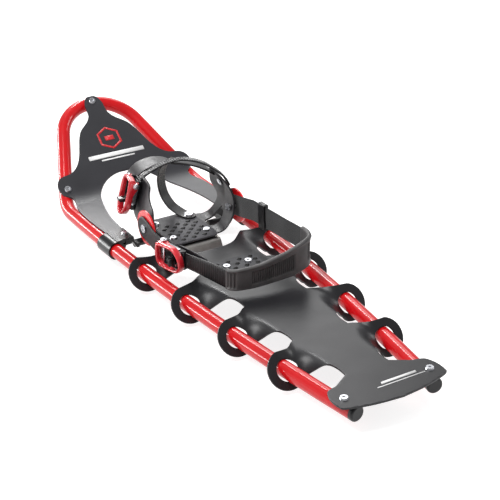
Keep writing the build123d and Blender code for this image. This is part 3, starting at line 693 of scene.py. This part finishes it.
over_foot(
    "instep_band_strap", ("instep_band",),
    [(52.5, 113.5), (45, 119.5), (33, 126.5), (18, 132.5), (0, 136), (-16, 136)],
    between([(-16, 44, 66), (53, 22, 48)]), HARNESS_SHEET, HARNESS,
)


TOE_LEFT, TOE_BEND = -90, -20      # plan x of the toe strap's left end and of its bend
TOE_BEHIND = (166, 178)            # plan y of its back edge at those two places
TOE_FRONT = (192, 206)             # and of its front edge


def toe_edges(across):
    """Plan lines of the toe strap, turned into harness directions."""
    x = across * cos(HARNESS_TURN)
    if x < TOE_BEND:
        behind, ahead = (
            left + (bend - left) * (x - TOE_LEFT) / (TOE_BEND - TOE_LEFT)
            for left, bend in (TOE_BEHIND, TOE_FRONT)
        )
    else:
        behind, ahead = TOE_BEHIND[1], TOE_FRONT[1] - (x - TOE_BEND) / 30
    ahead += 10 * ease(-across / 50)
    lean = cos(HARNESS_TURN)
    return (
        (behind - HARNESS_Y + across * sin(HARNESS_TURN)) / lean,
        (ahead - HARNESS_Y + across * sin(HARNESS_TURN)) / lean,
    )


over_foot(
    "toe_band_strap", ("toe_band",),
    [(-70.5, 84), (-69.5, 94), (-66, 104), (-58, 112), (-44, 117.5), (-22, 120), (0, 117)],
    toe_edges, HARNESS_SHEET, HARNESS,
)

TONGUE_WAY = Vector((-0.45, 0.893, 0))
tongue_root = (Vector(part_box("tongue_rivet")[0]) + Vector(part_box("tongue_rivet")[1])) / 2 / MM
tongue_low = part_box("tongue_strap")[0][2] / MM + HARNESS_SHEET / 2
tongue_run = Run([
    (-11, tongue_low), (0, tongue_low), (10, tongue_low + 0.3), (24, tongue_low + 5),
    (34, 48), (44.5, 60), (50, 74), (51.5, 90), (48, 106), (36, 124.5),
])
TONGUE_HALF = 11.0
TONGUE_STEPS = 90
tongue_wide = TONGUE_WAY.cross(UP)
stations = []
for k in range(TONGUE_STEPS + 1):
    along = tongue_run.length * k / TONGUE_STEPS
    spot = tongue_run.place(along)
    way = tongue_run.way(along)
    waist = 1.0 - 0.12 * sin(pi * k / TONGUE_STEPS)
    half = TONGUE_HALF * rounded_end(along, TONGUE_HALF) * waist
    stations.append((
        Vector((tongue_root[0], tongue_root[1], 0)) + TONGUE_WAY * spot[0] + UP * spot[1],
        TONGUE_WAY * -way[1] + UP * way[0], tongue_wide, half, half, HARNESS_SHEET, 0.0,
    ))
sweep("tongue_strap_moulded", stations, TONGUE, "binding", ("tongue_strap",))


# ---- heel strap: ladder, moulded heel piece and webbing ------------------
HEEL_BACK = Vector((0.199, -0.98, 0)).normalized()
HEEL_OUT = Vector((HEEL_BACK.y, -HEEL_BACK.x, 0))
HEEL_STRAP_Z = 63.5
BUCKLE_DROP = 5.5        # along the lever's pin, so the joint's axis stays the same line
ARM_X = -80.0
ARM_CORNER = Vector((ARM_X, 53, 0))
BUCKLE_BACK = 34.8       # from the arm's corner to the heel buckle's pin
LADDER_START = 6         # the ladder's free end, behind that pin
LADDER_LONG = 122.5
LADDER_STEPS = 240
HEEL_PITCH = 3.9         # from one ladder tooth to the next
ladder_in = ARM_CORNER + HEEL_BACK * BUCKLE_BACK + HEEL_OUT * 4.2
stations = []
for k in range(LADDER_STEPS + 1):
    along = LADDER_START + LADDER_LONG * k / LADDER_STEPS
    height = HEEL_STRAP_Z - BUCKLE_DROP * (1 - ease((along - 20) / 100))
    place = ladder_in + HEEL_BACK * along + UP * height
    grow = ease((along - 40) / 80)
    keep = rounded_end(along - LADDER_START, 8)
    tooth = 0.85 * (0.5 + 0.5 * cos(along * 2 * pi / HEEL_PITCH)) if along > 14 else 0.0
    stations.append((
        place, HEEL_OUT, UP, (12.0 + 3.6 * grow) * keep, (12.0 + 1.5 * grow) * keep, 2.5, tooth,
    ))
sweep("heel_ladder_strap", stations, LADDER, "heel_strap", ("heel_ladder",))

# loose strap end that lies inside the ladder
stations = []
for k in range(41):
    along = 18 + 66 * k / 40
    keep = min(rounded_end(84 - along, 7), rounded_end(along - 17, 7))
    inside = HEEL_OUT * (4.6 + 1.4 * sin(pi * k / 40))
    place = ladder_in - inside + HEEL_BACK * along + UP * (HEEL_STRAP_Z + 3.5)
    stations.append((place, HEEL_OUT, UP, 7.5 * keep, 7.5 * keep, 2.2, 0.0))
sweep("heel_strap_end", stations, HARNESS, "heel_strap")

# the arm from the left disc to the buckle
arm_line = Run([
    (ARM_X, 103, 0), (ARM_X, 83, 0), (ARM_X, 62, 0), (-79.6, 50, 0),
    tuple(ARM_CORNER + HEEL_BACK * 20), tuple(ARM_CORNER + HEEL_BACK * 63),
])
stations = []
for k in range(71):
    along = arm_line.length * k / 70
    spot = arm_line.place(along)
    way = arm_line.way(along)
    wide = 17.5 - 5.0 * ease((along - 12) / 70)
    keep = rounded_end(along, 18) * rounded_end(arm_line.length - along, 12)
    mid_z = DISC_Z + (HEEL_STRAP_Z - BUCKLE_DROP - DISC_Z) * ease((along - 10) / 60)
    outward = Vector((way.y, -way.x, 0))
    half = wide * keep
    stations.append((spot + UP * mid_z, outward, UP, half, half, HARNESS_SHEET, 0.0))
sweep("heel_arm_moulded", stations, HARNESS, "heel_strap", ("heel_arm_left",))


# the heel piece's upper and lower edge, as (x, z)
CUP_TOP = [(-90, 80), (-50, 80.5), (-10, 84.5), (30, 94), (66, 106), (95, 108)]
CUP_FOOT = [(-90, 47), (-20, 48), (40, 52.5), (66, 59), (78, 65), (95, 70)]
CUP_T = 5.4


def level(table, x):
    """Height on a straight-line table of (x, z) rows."""
    for a, b in zip(table, table[1:]):
        if x <= b[0]:
            return a[1] + (b[1] - a[1]) * (x - a[0]) / (b[0] - a[0])
    return table[-1][1]


def window_depth(along, up, panels):
    """How far a panel sinks the outer face, ribs included, at a point of the heel piece."""
    for start, end, low, high, pitch in panels:
        inside = min(ease((along - start) / 2.2), ease((end - along) / 2.2),
                     ease((up - low) / 0.07), ease((high - up) / 0.07))
        if inside > 0:
            return inside * (-2.6 + 2.0 * (0.5 + 0.5 * cos((along - start) * 2 * pi / pitch)))
    return 0.0


def heel_piece():
    """Moulded piece round the heel, with sunk, ribbed panels in its outer face."""
    start = ladder_in + HEEL_BACK * 128.4
    line = Run([
        tuple(start), tuple(start + HEEL_BACK * 4), tuple(start + HEEL_BACK * 8),
        (-40, -122, 0), (-12, -128, 0), (30, -131.5, 0), (60, -131, 0), (72, -125.5, 0),
        (77.5, -115, 0), (79, -106, 0), (79, -98, 0),
    ], 12)
    # start, end, low and high share of the height, and pitch of the ribs
    panels = [(3, 17, 0.10, 0.90, 4.6), (37, 106, 0.17, 0.78, 3.2), (126, 149, 0.20, 0.84, 3.2)]
    mesh = bmesh.new()
    columns = int(line.length / 0.42)
    rows = 34
    rings = []
    for k in range(columns + 1):
        along = line.length * k / columns
        spot = line.place(along)
        way = line.way(along)
        out = Vector((way.y, -way.x, 0))
        low, high = level(CUP_FOOT, spot.x), level(CUP_TOP, spot.x)
        ring = []
        for r in range(rows + 1):
            up = r / rows
            edge = min(up, 1 - up) * (high - low)
            crown = (1 - (1 - min(1, edge / 3.2)) ** 2) ** 0.5
            lip = 1.0 * ease((up - 0.86) / 0.06) + 0.7 * ease((0.10 - up) / 0.05)
            depth = CUP_T / 2 * crown + lip * crown + window_depth(along, up, panels)
            ring.append(spot + out * depth + UP * (low + (high - low) * up))
        for r in range(rows, -1, -1):
            up = r / rows
            edge = min(up, 1 - up) * (high - low)
            crown = (1 - (1 - min(1, edge / 2.4)) ** 2) ** 0.5
            ring.append(spot - out * (CUP_T / 2 * crown) + UP * (low + (high - low) * up))
        rings.append([mesh.verts.new(p * MM) for p in ring])
    for a, b in zip(rings, rings[1:]):
        for k in range(len(a)):
            n = (k + 1) % len(a)
            mesh.faces.new((a[k], a[n], b[n], b[k]))
    mesh.faces.new(list(reversed(rings[0])))
    mesh.faces.new(rings[-1])
    bmesh.ops.remove_doubles(mesh, verts=mesh.verts, dist=0.00002)
    bmesh.ops.recalc_face_normals(mesh, faces=mesh.faces)
    data = bpy.data.meshes.new("heel_piece")
    mesh.to_mesh(data)
    mesh.free()
    smooth(data)
    obj = new_object("heel_piece", data, RUBBER, "heel_strap")
    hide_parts("heel_cup")


heel_piece()

# woven strap from the heel piece to the right disc
WEB_H = 34.0
web_line = Run([
    (79, -98, 0), (78.6, -78, 0), (77.6, -30, 0), (76.6, 20, 0), (76.3, 44, 0), (76.3, 70, 0),
    (76.3, 102, 0),
])
stations = []
for k in range(161):
    along = web_line.length * k / 160
    spot = web_line.place(along)
    way = web_line.way(along)
    mid = 82.0 - 0.048 * spot.y if spot.y < 30 else 80.6 - (spot.y - 30) * 0.22
    keep = 1.0 if k < 150 else rounded_end(web_line.length - along + 3, 17)
    ripple = 0.25 * sin(along * 0.11)
    outward = Vector((way.y, -way.x, 0))
    half = WEB_H / 2 * keep
    stations.append((spot + outward * ripple + UP * mid, outward, UP, half, half, 1.8, 0.0))
sweep("heel_webbing_woven", stations, WEBBING, "heel_strap", ("heel_webbing",))


# ---- ratchet buckles ------------------------------------------------------
class Place:
    """A buckle's own directions: x down the strap, y away from the foot, z along the pins."""

    def __init__(self, origin, x, z):
        self.origin = Vector(origin)
        self.x = Vector(x).normalized()
        self.z = Vector(z).normalized()
        self.y = self.z.cross(self.x)

    def at(self, x, y, z):
        return (self.origin + self.x * x + self.y * y + self.z * z) * MM


def finish_mesh(mesh, name, material, body, rounding, segments=2, angle=35):
    """Turn a mesh in the making into a piece on its body, with its edges rounded."""
    bmesh.ops.recalc_face_normals(mesh, faces=mesh.faces)
    data = bpy.data.meshes.new(name)
    mesh.to_mesh(data)
    mesh.free()
    smooth(data)
    obj = new_object(name, data, material, body)
    bevel = obj.modifiers.new("soft_edges", "BEVEL")
    bevel.width = rounding * MM
    bevel.segments = segments
    bevel.limit_method = "ANGLE"
    bevel.angle_limit = radians(angle)
    crisp(obj, 50)
    return obj


def add_block(mesh, place, outline, z0, z1):
    """Outline in a buckle's x and y, pulled out along its pins."""
    low = [mesh.verts.new(place.at(x, y, z0)) for x, y in outline]
    high = [mesh.verts.new(place.at(x, y, z1)) for x, y in outline]
    mesh.faces.new(low)
    mesh.faces.new(list(reversed(high)))
    for k in range(len(low)):
        n = (k + 1) % len(low)
        mesh.faces.new((low[k], low[n], high[n], high[k]))


def circle_points(at, radius, count=20):
    angles = [2 * pi * k / count for k in range(count)]
    return [(at[0] + radius * cos(a), at[1] + radius * sin(a)) for a in angles]


BAR_SIDES = 16
BAR_SQUARE = 3.5         # 2 gives a round bar, more gives a squarer one


def add_loop(mesh, place, outline, deep_low, deep_high, band):
    """Closed ring: a rounded bar that follows an outline in x and z, deep along y."""
    size = len(outline)
    rings = []
    for k in range(size):
        before = Vector(outline[k - 1])
        here = Vector(outline[k])
        after = Vector(outline[(k + 1) % size])
        way = (after - before).normalized()
        inward = Vector((-way[1], way[0]))
        mid = (deep_low + deep_high) / 2
        half = (deep_high - deep_low) / 2
        ring = []
        for step in range(BAR_SIDES):
            angle = 2 * pi * step / BAR_SIDES
            c, d = cos(angle), sin(angle)
            shape = (abs(c) ** BAR_SQUARE + abs(d) ** BAR_SQUARE) ** (-1 / BAR_SQUARE)
            across = c * shape * band / 2
            deep = d * shape * half
            spot = here + inward * (across + band / 2)
            ring.append(mesh.verts.new(place.at(spot[0], mid + deep, spot[1])))
        rings.append(ring)
    for k in range(size):
        a, b = rings[k], rings[(k + 1) % size]
        for m in range(BAR_SIDES):
            n = (m + 1) % BAR_SIDES
            mesh.faces.new((a[m], a[n], b[n], b[m]))


LEVER_RING = [
    (-7, -17), (10, -19.5), (28, -20), (40, -13), (46, -2), (46, 9), (38, 16.5), (22, 18.5),
    (4, 18), (-6, 12), (-9, -3),
]
PIN_OUT = 8.0            # lever's pin, out from the buckle's origin
PAWL_AT = (27.0, 7.8)    # catch's pin
HOUSING = 12.9           # half width inside the walls


def mirrored_spans(inner, outer):
    """The same stretch along the pins at both sides of a buckle."""
    return (-outer, -inner), (inner, outer)


def buckle(name, place, body, lever_body, release_body, longer=1.0):
    """Housing, lever ring, pins and catch of one ratchet buckle; longer stretches the ring."""
    shell = bmesh.new()
    add_block(shell, place, [(-6, -1.4), (39, -1.4), (39, 0.1), (-6, 0.1)], -14.4, 14.4)
    wall = [(-6, -1.4), (40, -1.4), (41, 4), (36, 9.5), (28, 11.2), (4, 12.0), (-4, 10.5), (-6, 6)]
    for z0, z1 in mirrored_spans(HOUSING, 14.6):
        add_block(shell, place, wall, z0, z1)
    add_block(shell, place, [(32.5, 3.4), (41, 2.6), (42, 5.5), (34, 8.8)], -HOUSING, HOUSING)
    obj = finish_mesh(shell, name + "_housing", SATIN, body, 0.45)
    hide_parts(name + "_buckle_base")

    cheek = bmesh.new()
    side = [(3, 2), (30, 2), (33, 5), (31, 10.5), (22, 13.2), (8, 14.0), (3, 12)]
    for z0, z1 in mirrored_spans(14.8, 16.0):
        add_block(cheek, place, side, z0, z1)
    finish_mesh(cheek, name + "_cheeks", RIVET, body, 0.35)

    rod = bmesh.new()
    add_block(rod, place, circle_points((0, PIN_OUT), 2.4), -19.4, 19.4)
    for z0, z1 in mirrored_spans(19.4, 22.2):
        add_block(rod, place, circle_points((0, PIN_OUT), 5.0, 6), z0, z1)
    for z0, z1 in mirrored_spans(22.2, 23.4):
        add_block(rod, place, circle_points((0, PIN_OUT), 2.7, 16), z0, z1)
    obj = finish_mesh(rod, name + "_lever_bolt", RIVET, body, 0.3)
    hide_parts(name + "_lever_pin")

    rod = bmesh.new()
    add_block(rod, place, circle_points(PAWL_AT, 2.2), -14.9, 14.9)
    for z0, z1 in mirrored_spans(14.9, 17.0):
        add_block(rod, place, circle_points(PAWL_AT, 3.2, 18), z0, z1)
    obj = finish_mesh(rod, name + "_release_bolt", RIVET, body, 0.3)
    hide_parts(name + "_release_pin")

    ring = bmesh.new()
    drawn = [(x * longer if x > 0 else x, z) for x, z in LEVER_RING]
    outline = [tuple(p) for p in spline_points(drawn + drawn[:1], 6)][:-1]
    add_loop(ring, place, outline, 8.6, 19.0, 4.6)
    eye = [(-5.5, 4.5), (4.5, 3.8), (16, 8.5), (24, 12), (10, 17), (-4, 16)]
    for z0, z1 in mirrored_spans(16.4, 19.2):
        add_block(ring, place, eye, z0, z1)
    obj = finish_mesh(ring, name + "_lever_ring", LEVER, lever_body, 0.5, 2, 50)
    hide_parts(name + "_lever")

    catch = bmesh.new()
    pawl = [
        (15, 3.4), (18, 3.4), (27, 4.2), (31, 6.5), (32, 11.5), (33.5, 21), (32, 25.0),
        (28.5, 25.0), (26.5, 16), (22, 12.5), (17, 9),
    ]
    add_block(catch, place, pawl, -5.6, 5.6)
    obj = finish_mesh(catch, name + "_catch", SATIN, release_body, 0.8)
    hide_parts(name + "_release")


instep_place = Place(
    harness_point(buckle_spot[0], BUCKLE_AHEAD + BUCKLE_SHIFT, buckle_spot[1]),
    ACROSS * BUCKLE_DOWN[0] + UP * BUCKLE_DOWN[1], AHEAD,
)
buckle("instep", instep_place, "binding", "instep_lever", "instep_release", 1.18)
heel_foot = ARM_CORNER + HEEL_BACK * BUCKLE_BACK + HEEL_OUT * 2.7
heel_place = Place(heel_foot + UP * (HEEL_STRAP_Z - BUCKLE_DROP), HEEL_BACK, (0, 0, -1))
buckle("heel", heel_place, "heel_strap", "heel_lever", "heel_release")


# ---- toe pad, rivets and plain printed marks ------------------------------
PAD_HALF = 39.0
PAD_LOW, PAD_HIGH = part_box("toe_pad")[0][1] / MM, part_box("toe_pad")[1][1] / MM
PAD_TOP = pad_top / MM
PAD_CORNER = 9.0
STUD_ACROSS = 18.4       # from one stud to the next in a row
STUD_ROW = 8.8           # from one row to the next
STUD_FOOT = 4.9
STUD_TOP = 2.6
STUD_HIGH = 1.7


def diamond(x, y, reach):
    return [(x + reach, y), (x, y + reach), (x - reach, y), (x, y - reach)]


def toe_plate():
    """Plate under the toes, with rows of diamond studs set half a step apart."""
    mesh = bmesh.new()
    outline = []
    for cx, cy, turn in ((1, 1, 0), (-1, 1, 90), (-1, -1, 180), (1, -1, 270)):
        mid_x = cx * (PAD_HALF - PAD_CORNER)
        mid_y = PAD_HIGH - PAD_CORNER if cy > 0 else PAD_LOW + PAD_CORNER
        for step in range(9):
            angle = radians(turn + step * 90 / 8)
            outline.append((mid_x + PAD_CORNER * cos(angle), mid_y + PAD_CORNER * sin(angle)))
    flat = Place((0, 0, 0), (1, 0, 0), (0, 0, 1))
    add_block(mesh, flat, outline, PAD_TOP - 2.5, PAD_TOP)
    row = 0
    y = PAD_LOW + 9.5
    while y < PAD_HIGH - 24:
        for k in range(-3, 4):
            x = k * STUD_ACROSS + (STUD_ACROSS / 2 if row % 2 else 0.0)
            from_middle = abs(y - (PAD_LOW + PAD_HIGH) / 2)
            inside = abs(x) + from_middle * 0.4 < 43 and abs(x) < PAD_HALF - 6
            by_a_rivet = abs(x) > 20 and y < PAD_LOW + 16
            if inside and not by_a_rivet:
                low, high = (
                    [mesh.verts.new(Vector((px, py, z)) * MM) for px, py in diamond(x, y, reach)]
                    for z, reach in ((PAD_TOP - 0.1, STUD_FOOT), (PAD_TOP + STUD_HIGH, STUD_TOP))
                )
                mesh.faces.new(high)
                for m in range(4):
                    n = (m + 1) % 4
                    mesh.faces.new((low[m], low[n], high[n], high[m]))
        row += 1
        y += STUD_ROW
    obj = finish_mesh(mesh, "toe_pad_plate", TOE_PAD, "binding", 0.25)
    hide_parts("toe_pad")


toe_plate()


def strap_rivet(name, place, radius):
    """Domed rivet on a dark washer, standing out along the place's z."""
    washer = bmesh.new()
    add_block(washer, place, circle_points((0, 0), radius * 1.45, 28), 0, 0.9)
    finish_mesh(washer, name + "_washer", SATIN, "binding", 0.3)
    head = bmesh.new()
    add_block(head, place, circle_points((0, 0), radius, 24), 0.9, 2.0)
    add_block(head, place, circle_points((0, 0), radius * 0.45, 16), 2.0, 2.5)
    finish_mesh(head, name + "_head", RIVET, "binding", 0.45, 3)


# on the right side of the harness, whose upper part faces a little backwards
RIVET_Z = 97
RIVET_AHEAD = 42
RIVET_FACING = (0.958, -0.287)     # shares of the section's own normal and of ahead
rivet_along = right_run.reach(1, RIVET_Z)
spot = right_run.place(rivet_along)
way = right_run.way(rivet_along)
section_normal = UP * way[0] - ACROSS * way[1]
facing = (section_normal * RIVET_FACING[0] + AHEAD * RIVET_FACING[1]).normalized()
rivet_foot = harness_point(spot[0] - 2.4, RIVET_AHEAD, spot[1]) + facing * 1.2
strap_rivet("instep_rivet", Place(rivet_foot, UP.cross(facing).normalized(), facing), 5.2)


PRINT_ABOVE = 0.12       # a print's middle over the face under it


def printed(name, outlines, surface, material):
    """Thin print laid on a deck, cut into narrow strips so that it can follow a bend."""
    whole = bmesh.new()
    for outline in outlines:
        verts = [whole.verts.new((x, y, 0)) for x, y in outline]
        whole.faces.new(verts)
    low = min(v.co.y for v in whole.verts)
    high = max(v.co.y for v in whole.verts)
    cuts = int((high - low) / 2.5)
    for k in range(1, cuts + 1):
        bmesh.ops.bisect_plane(
            whole, geom=whole.verts[:] + whole.edges[:] + whole.faces[:],
            plane_co=(0, low + (high - low) * k / (cuts + 1), 0), plane_no=(0, 1, 0), dist=0.0001,
        )
    for vert in whole.verts:
        vert.co = surface(vert.co.x, vert.co.y)
    bmesh.ops.recalc_face_normals(whole, faces=whole.faces)
    data = bpy.data.meshes.new(name)
    whole.to_mesh(data)
    whole.free()
    smooth(data)
    obj = new_object(name, data, material, "frame")
    skin = obj.modifiers.new("film", "SOLIDIFY")
    skin.thickness = 0.0002
    skin.offset = 0


def on_toe(x, y):
    """Point just over the toe deck's top face, found by looking straight down at it."""
    target = frame["nodes"]["toe_deck"]
    into = target.matrix_world.inverted()
    start = into @ Vector((x * MM, y * MM, 0.5))
    _, place, _, _ = target.ray_cast(start, into.to_3x3() @ Vector((0, 0, -1)))
    return (target.matrix_world @ place) + Vector((0, 0, PRINT_ABOVE * MM))


def on_tail(x, y):
    return Vector((x, y, DECK_MID + SHEET / 2 + PRINT_ABOVE)) * MM


def bar(x0, x1, y0, y1, lean=0.0):
    return [(x0, y0), (x1, y0), (x1 + lean, y1), (x0 + lean, y1)]


def hexagon(x, y, outer, inner):
    """Six strips round a plain hexagon, flattened in y."""
    corners = [(cos(radians(60 * k + 30)), sin(radians(60 * k + 30)) * 0.8) for k in range(6)]
    strips = []
    for k in range(6):
        a, b = corners[k], corners[(k + 1) % 6]
        strips.append([
            (x + a[0] * outer, y + a[1] * outer), (x + b[0] * outer, y + b[1] * outer),
            (x + b[0] * inner, y + b[1] * inner), (x + a[0] * inner, y + a[1] * inner),
        ])
    return strips


MARK_Y = 335.0
printed(
    "toe_deck_mark_red",
    hexagon(0, MARK_Y + 27, 22, 18) + [bar(-8, 8, MARK_Y + 23.5, MARK_Y + 30.5)],
    on_toe, MARK_RED,
)
printed(
    "toe_deck_mark_white",
    [bar(-50, 50, MARK_Y - 1, MARK_Y + 5), bar(-30, 30, MARK_Y - 5.5, MARK_Y - 3.5)],
    on_toe, MARK_WHITE,
)
printed(
    "tail_mark_white",
    [bar(-8, 46, -409.5, -405.0, 1.5), bar(-18, 56, -414.5, -413.0, 1.0)],
    on_tail, MARK_WHITE,
)


# ---- floor, light and camera --------------------------------------------
def floor_material():
    s = Shader("pale_floor", (0.50, 0.50, 0.50), 0.8, specular=0.1)
    s.tint(2, 0.01)
    s.bsdf.inputs["Emission Color"].default_value = (1, 1, 1, 1)
    s.bsdf.inputs["Emission Strength"].default_value = 0.82
    return s.material


bpy.ops.mesh.primitive_plane_add(size=14)
floor = bpy.context.object
floor.name = "studio_floor"
floor.data.materials.append(floor_material())


def area_light(name, place, target, size, power, size_y=None):
    data = bpy.data.lights.new(name, "AREA")
    data.shape = "RECTANGLE"
    data.size = size
    data.size_y = size_y or size
    data.energy = power
    lamp = bpy.data.objects.new(name, data)
    SCENE.collection.objects.link(lamp)
    lamp.location = place
    lamp.rotation_euler = (Vector(target) - Vector(place)).to_track_quat("-Z", "Y").to_euler()
    return lamp


world = bpy.data.worlds.new("studio")
world.use_nodes = True
world.node_tree.nodes["Background"].inputs["Color"].default_value = (1, 1, 1, 1)
world.node_tree.nodes["Background"].inputs["Strength"].default_value = 0.42
SCENE.world = world
area_light("key", (-0.9, 0.1, 1.9), (0, 0, 0), 1.0, 44)
# the two streaks only make highlights
for streak in (
    area_light("top_streak", (0.47, 1.76, 1.36), (-0.1, 0, 0), 0.12, 26, size_y=1.8),
    area_light("low_streak", (-1.36, 1.53, 0.32), (-0.1, 0, 0.03), 1.8, 44, size_y=0.26),
):
    streak.visible_diffuse = False
area_light("back", (0.9, 1.9, 1.5), (0, 0, 0), 1.6, 26)
area_light("right", (2.2, -0.2, 1.2), (0, 0, 0.03), 0.8, 12)

# camera worked out from the photograph's symmetric rivets, loops and tube edges
CAMERA_FROM = (-0.8721, -1.5080, 0.9308)
CAMERA_TURN = (radians(90 - 26.9), 0, radians(-31.5))
camera_data = bpy.data.cameras.new("camera")
camera_data.lens = 95.607
camera_data.sensor_width = 36
camera = bpy.data.objects.new("camera", camera_data)
SCENE.collection.objects.link(camera)
camera.location = CAMERA_FROM
camera.rotation_euler = CAMERA_TURN
SCENE.camera = camera
SCENE.view_settings.view_transform = "Standard"
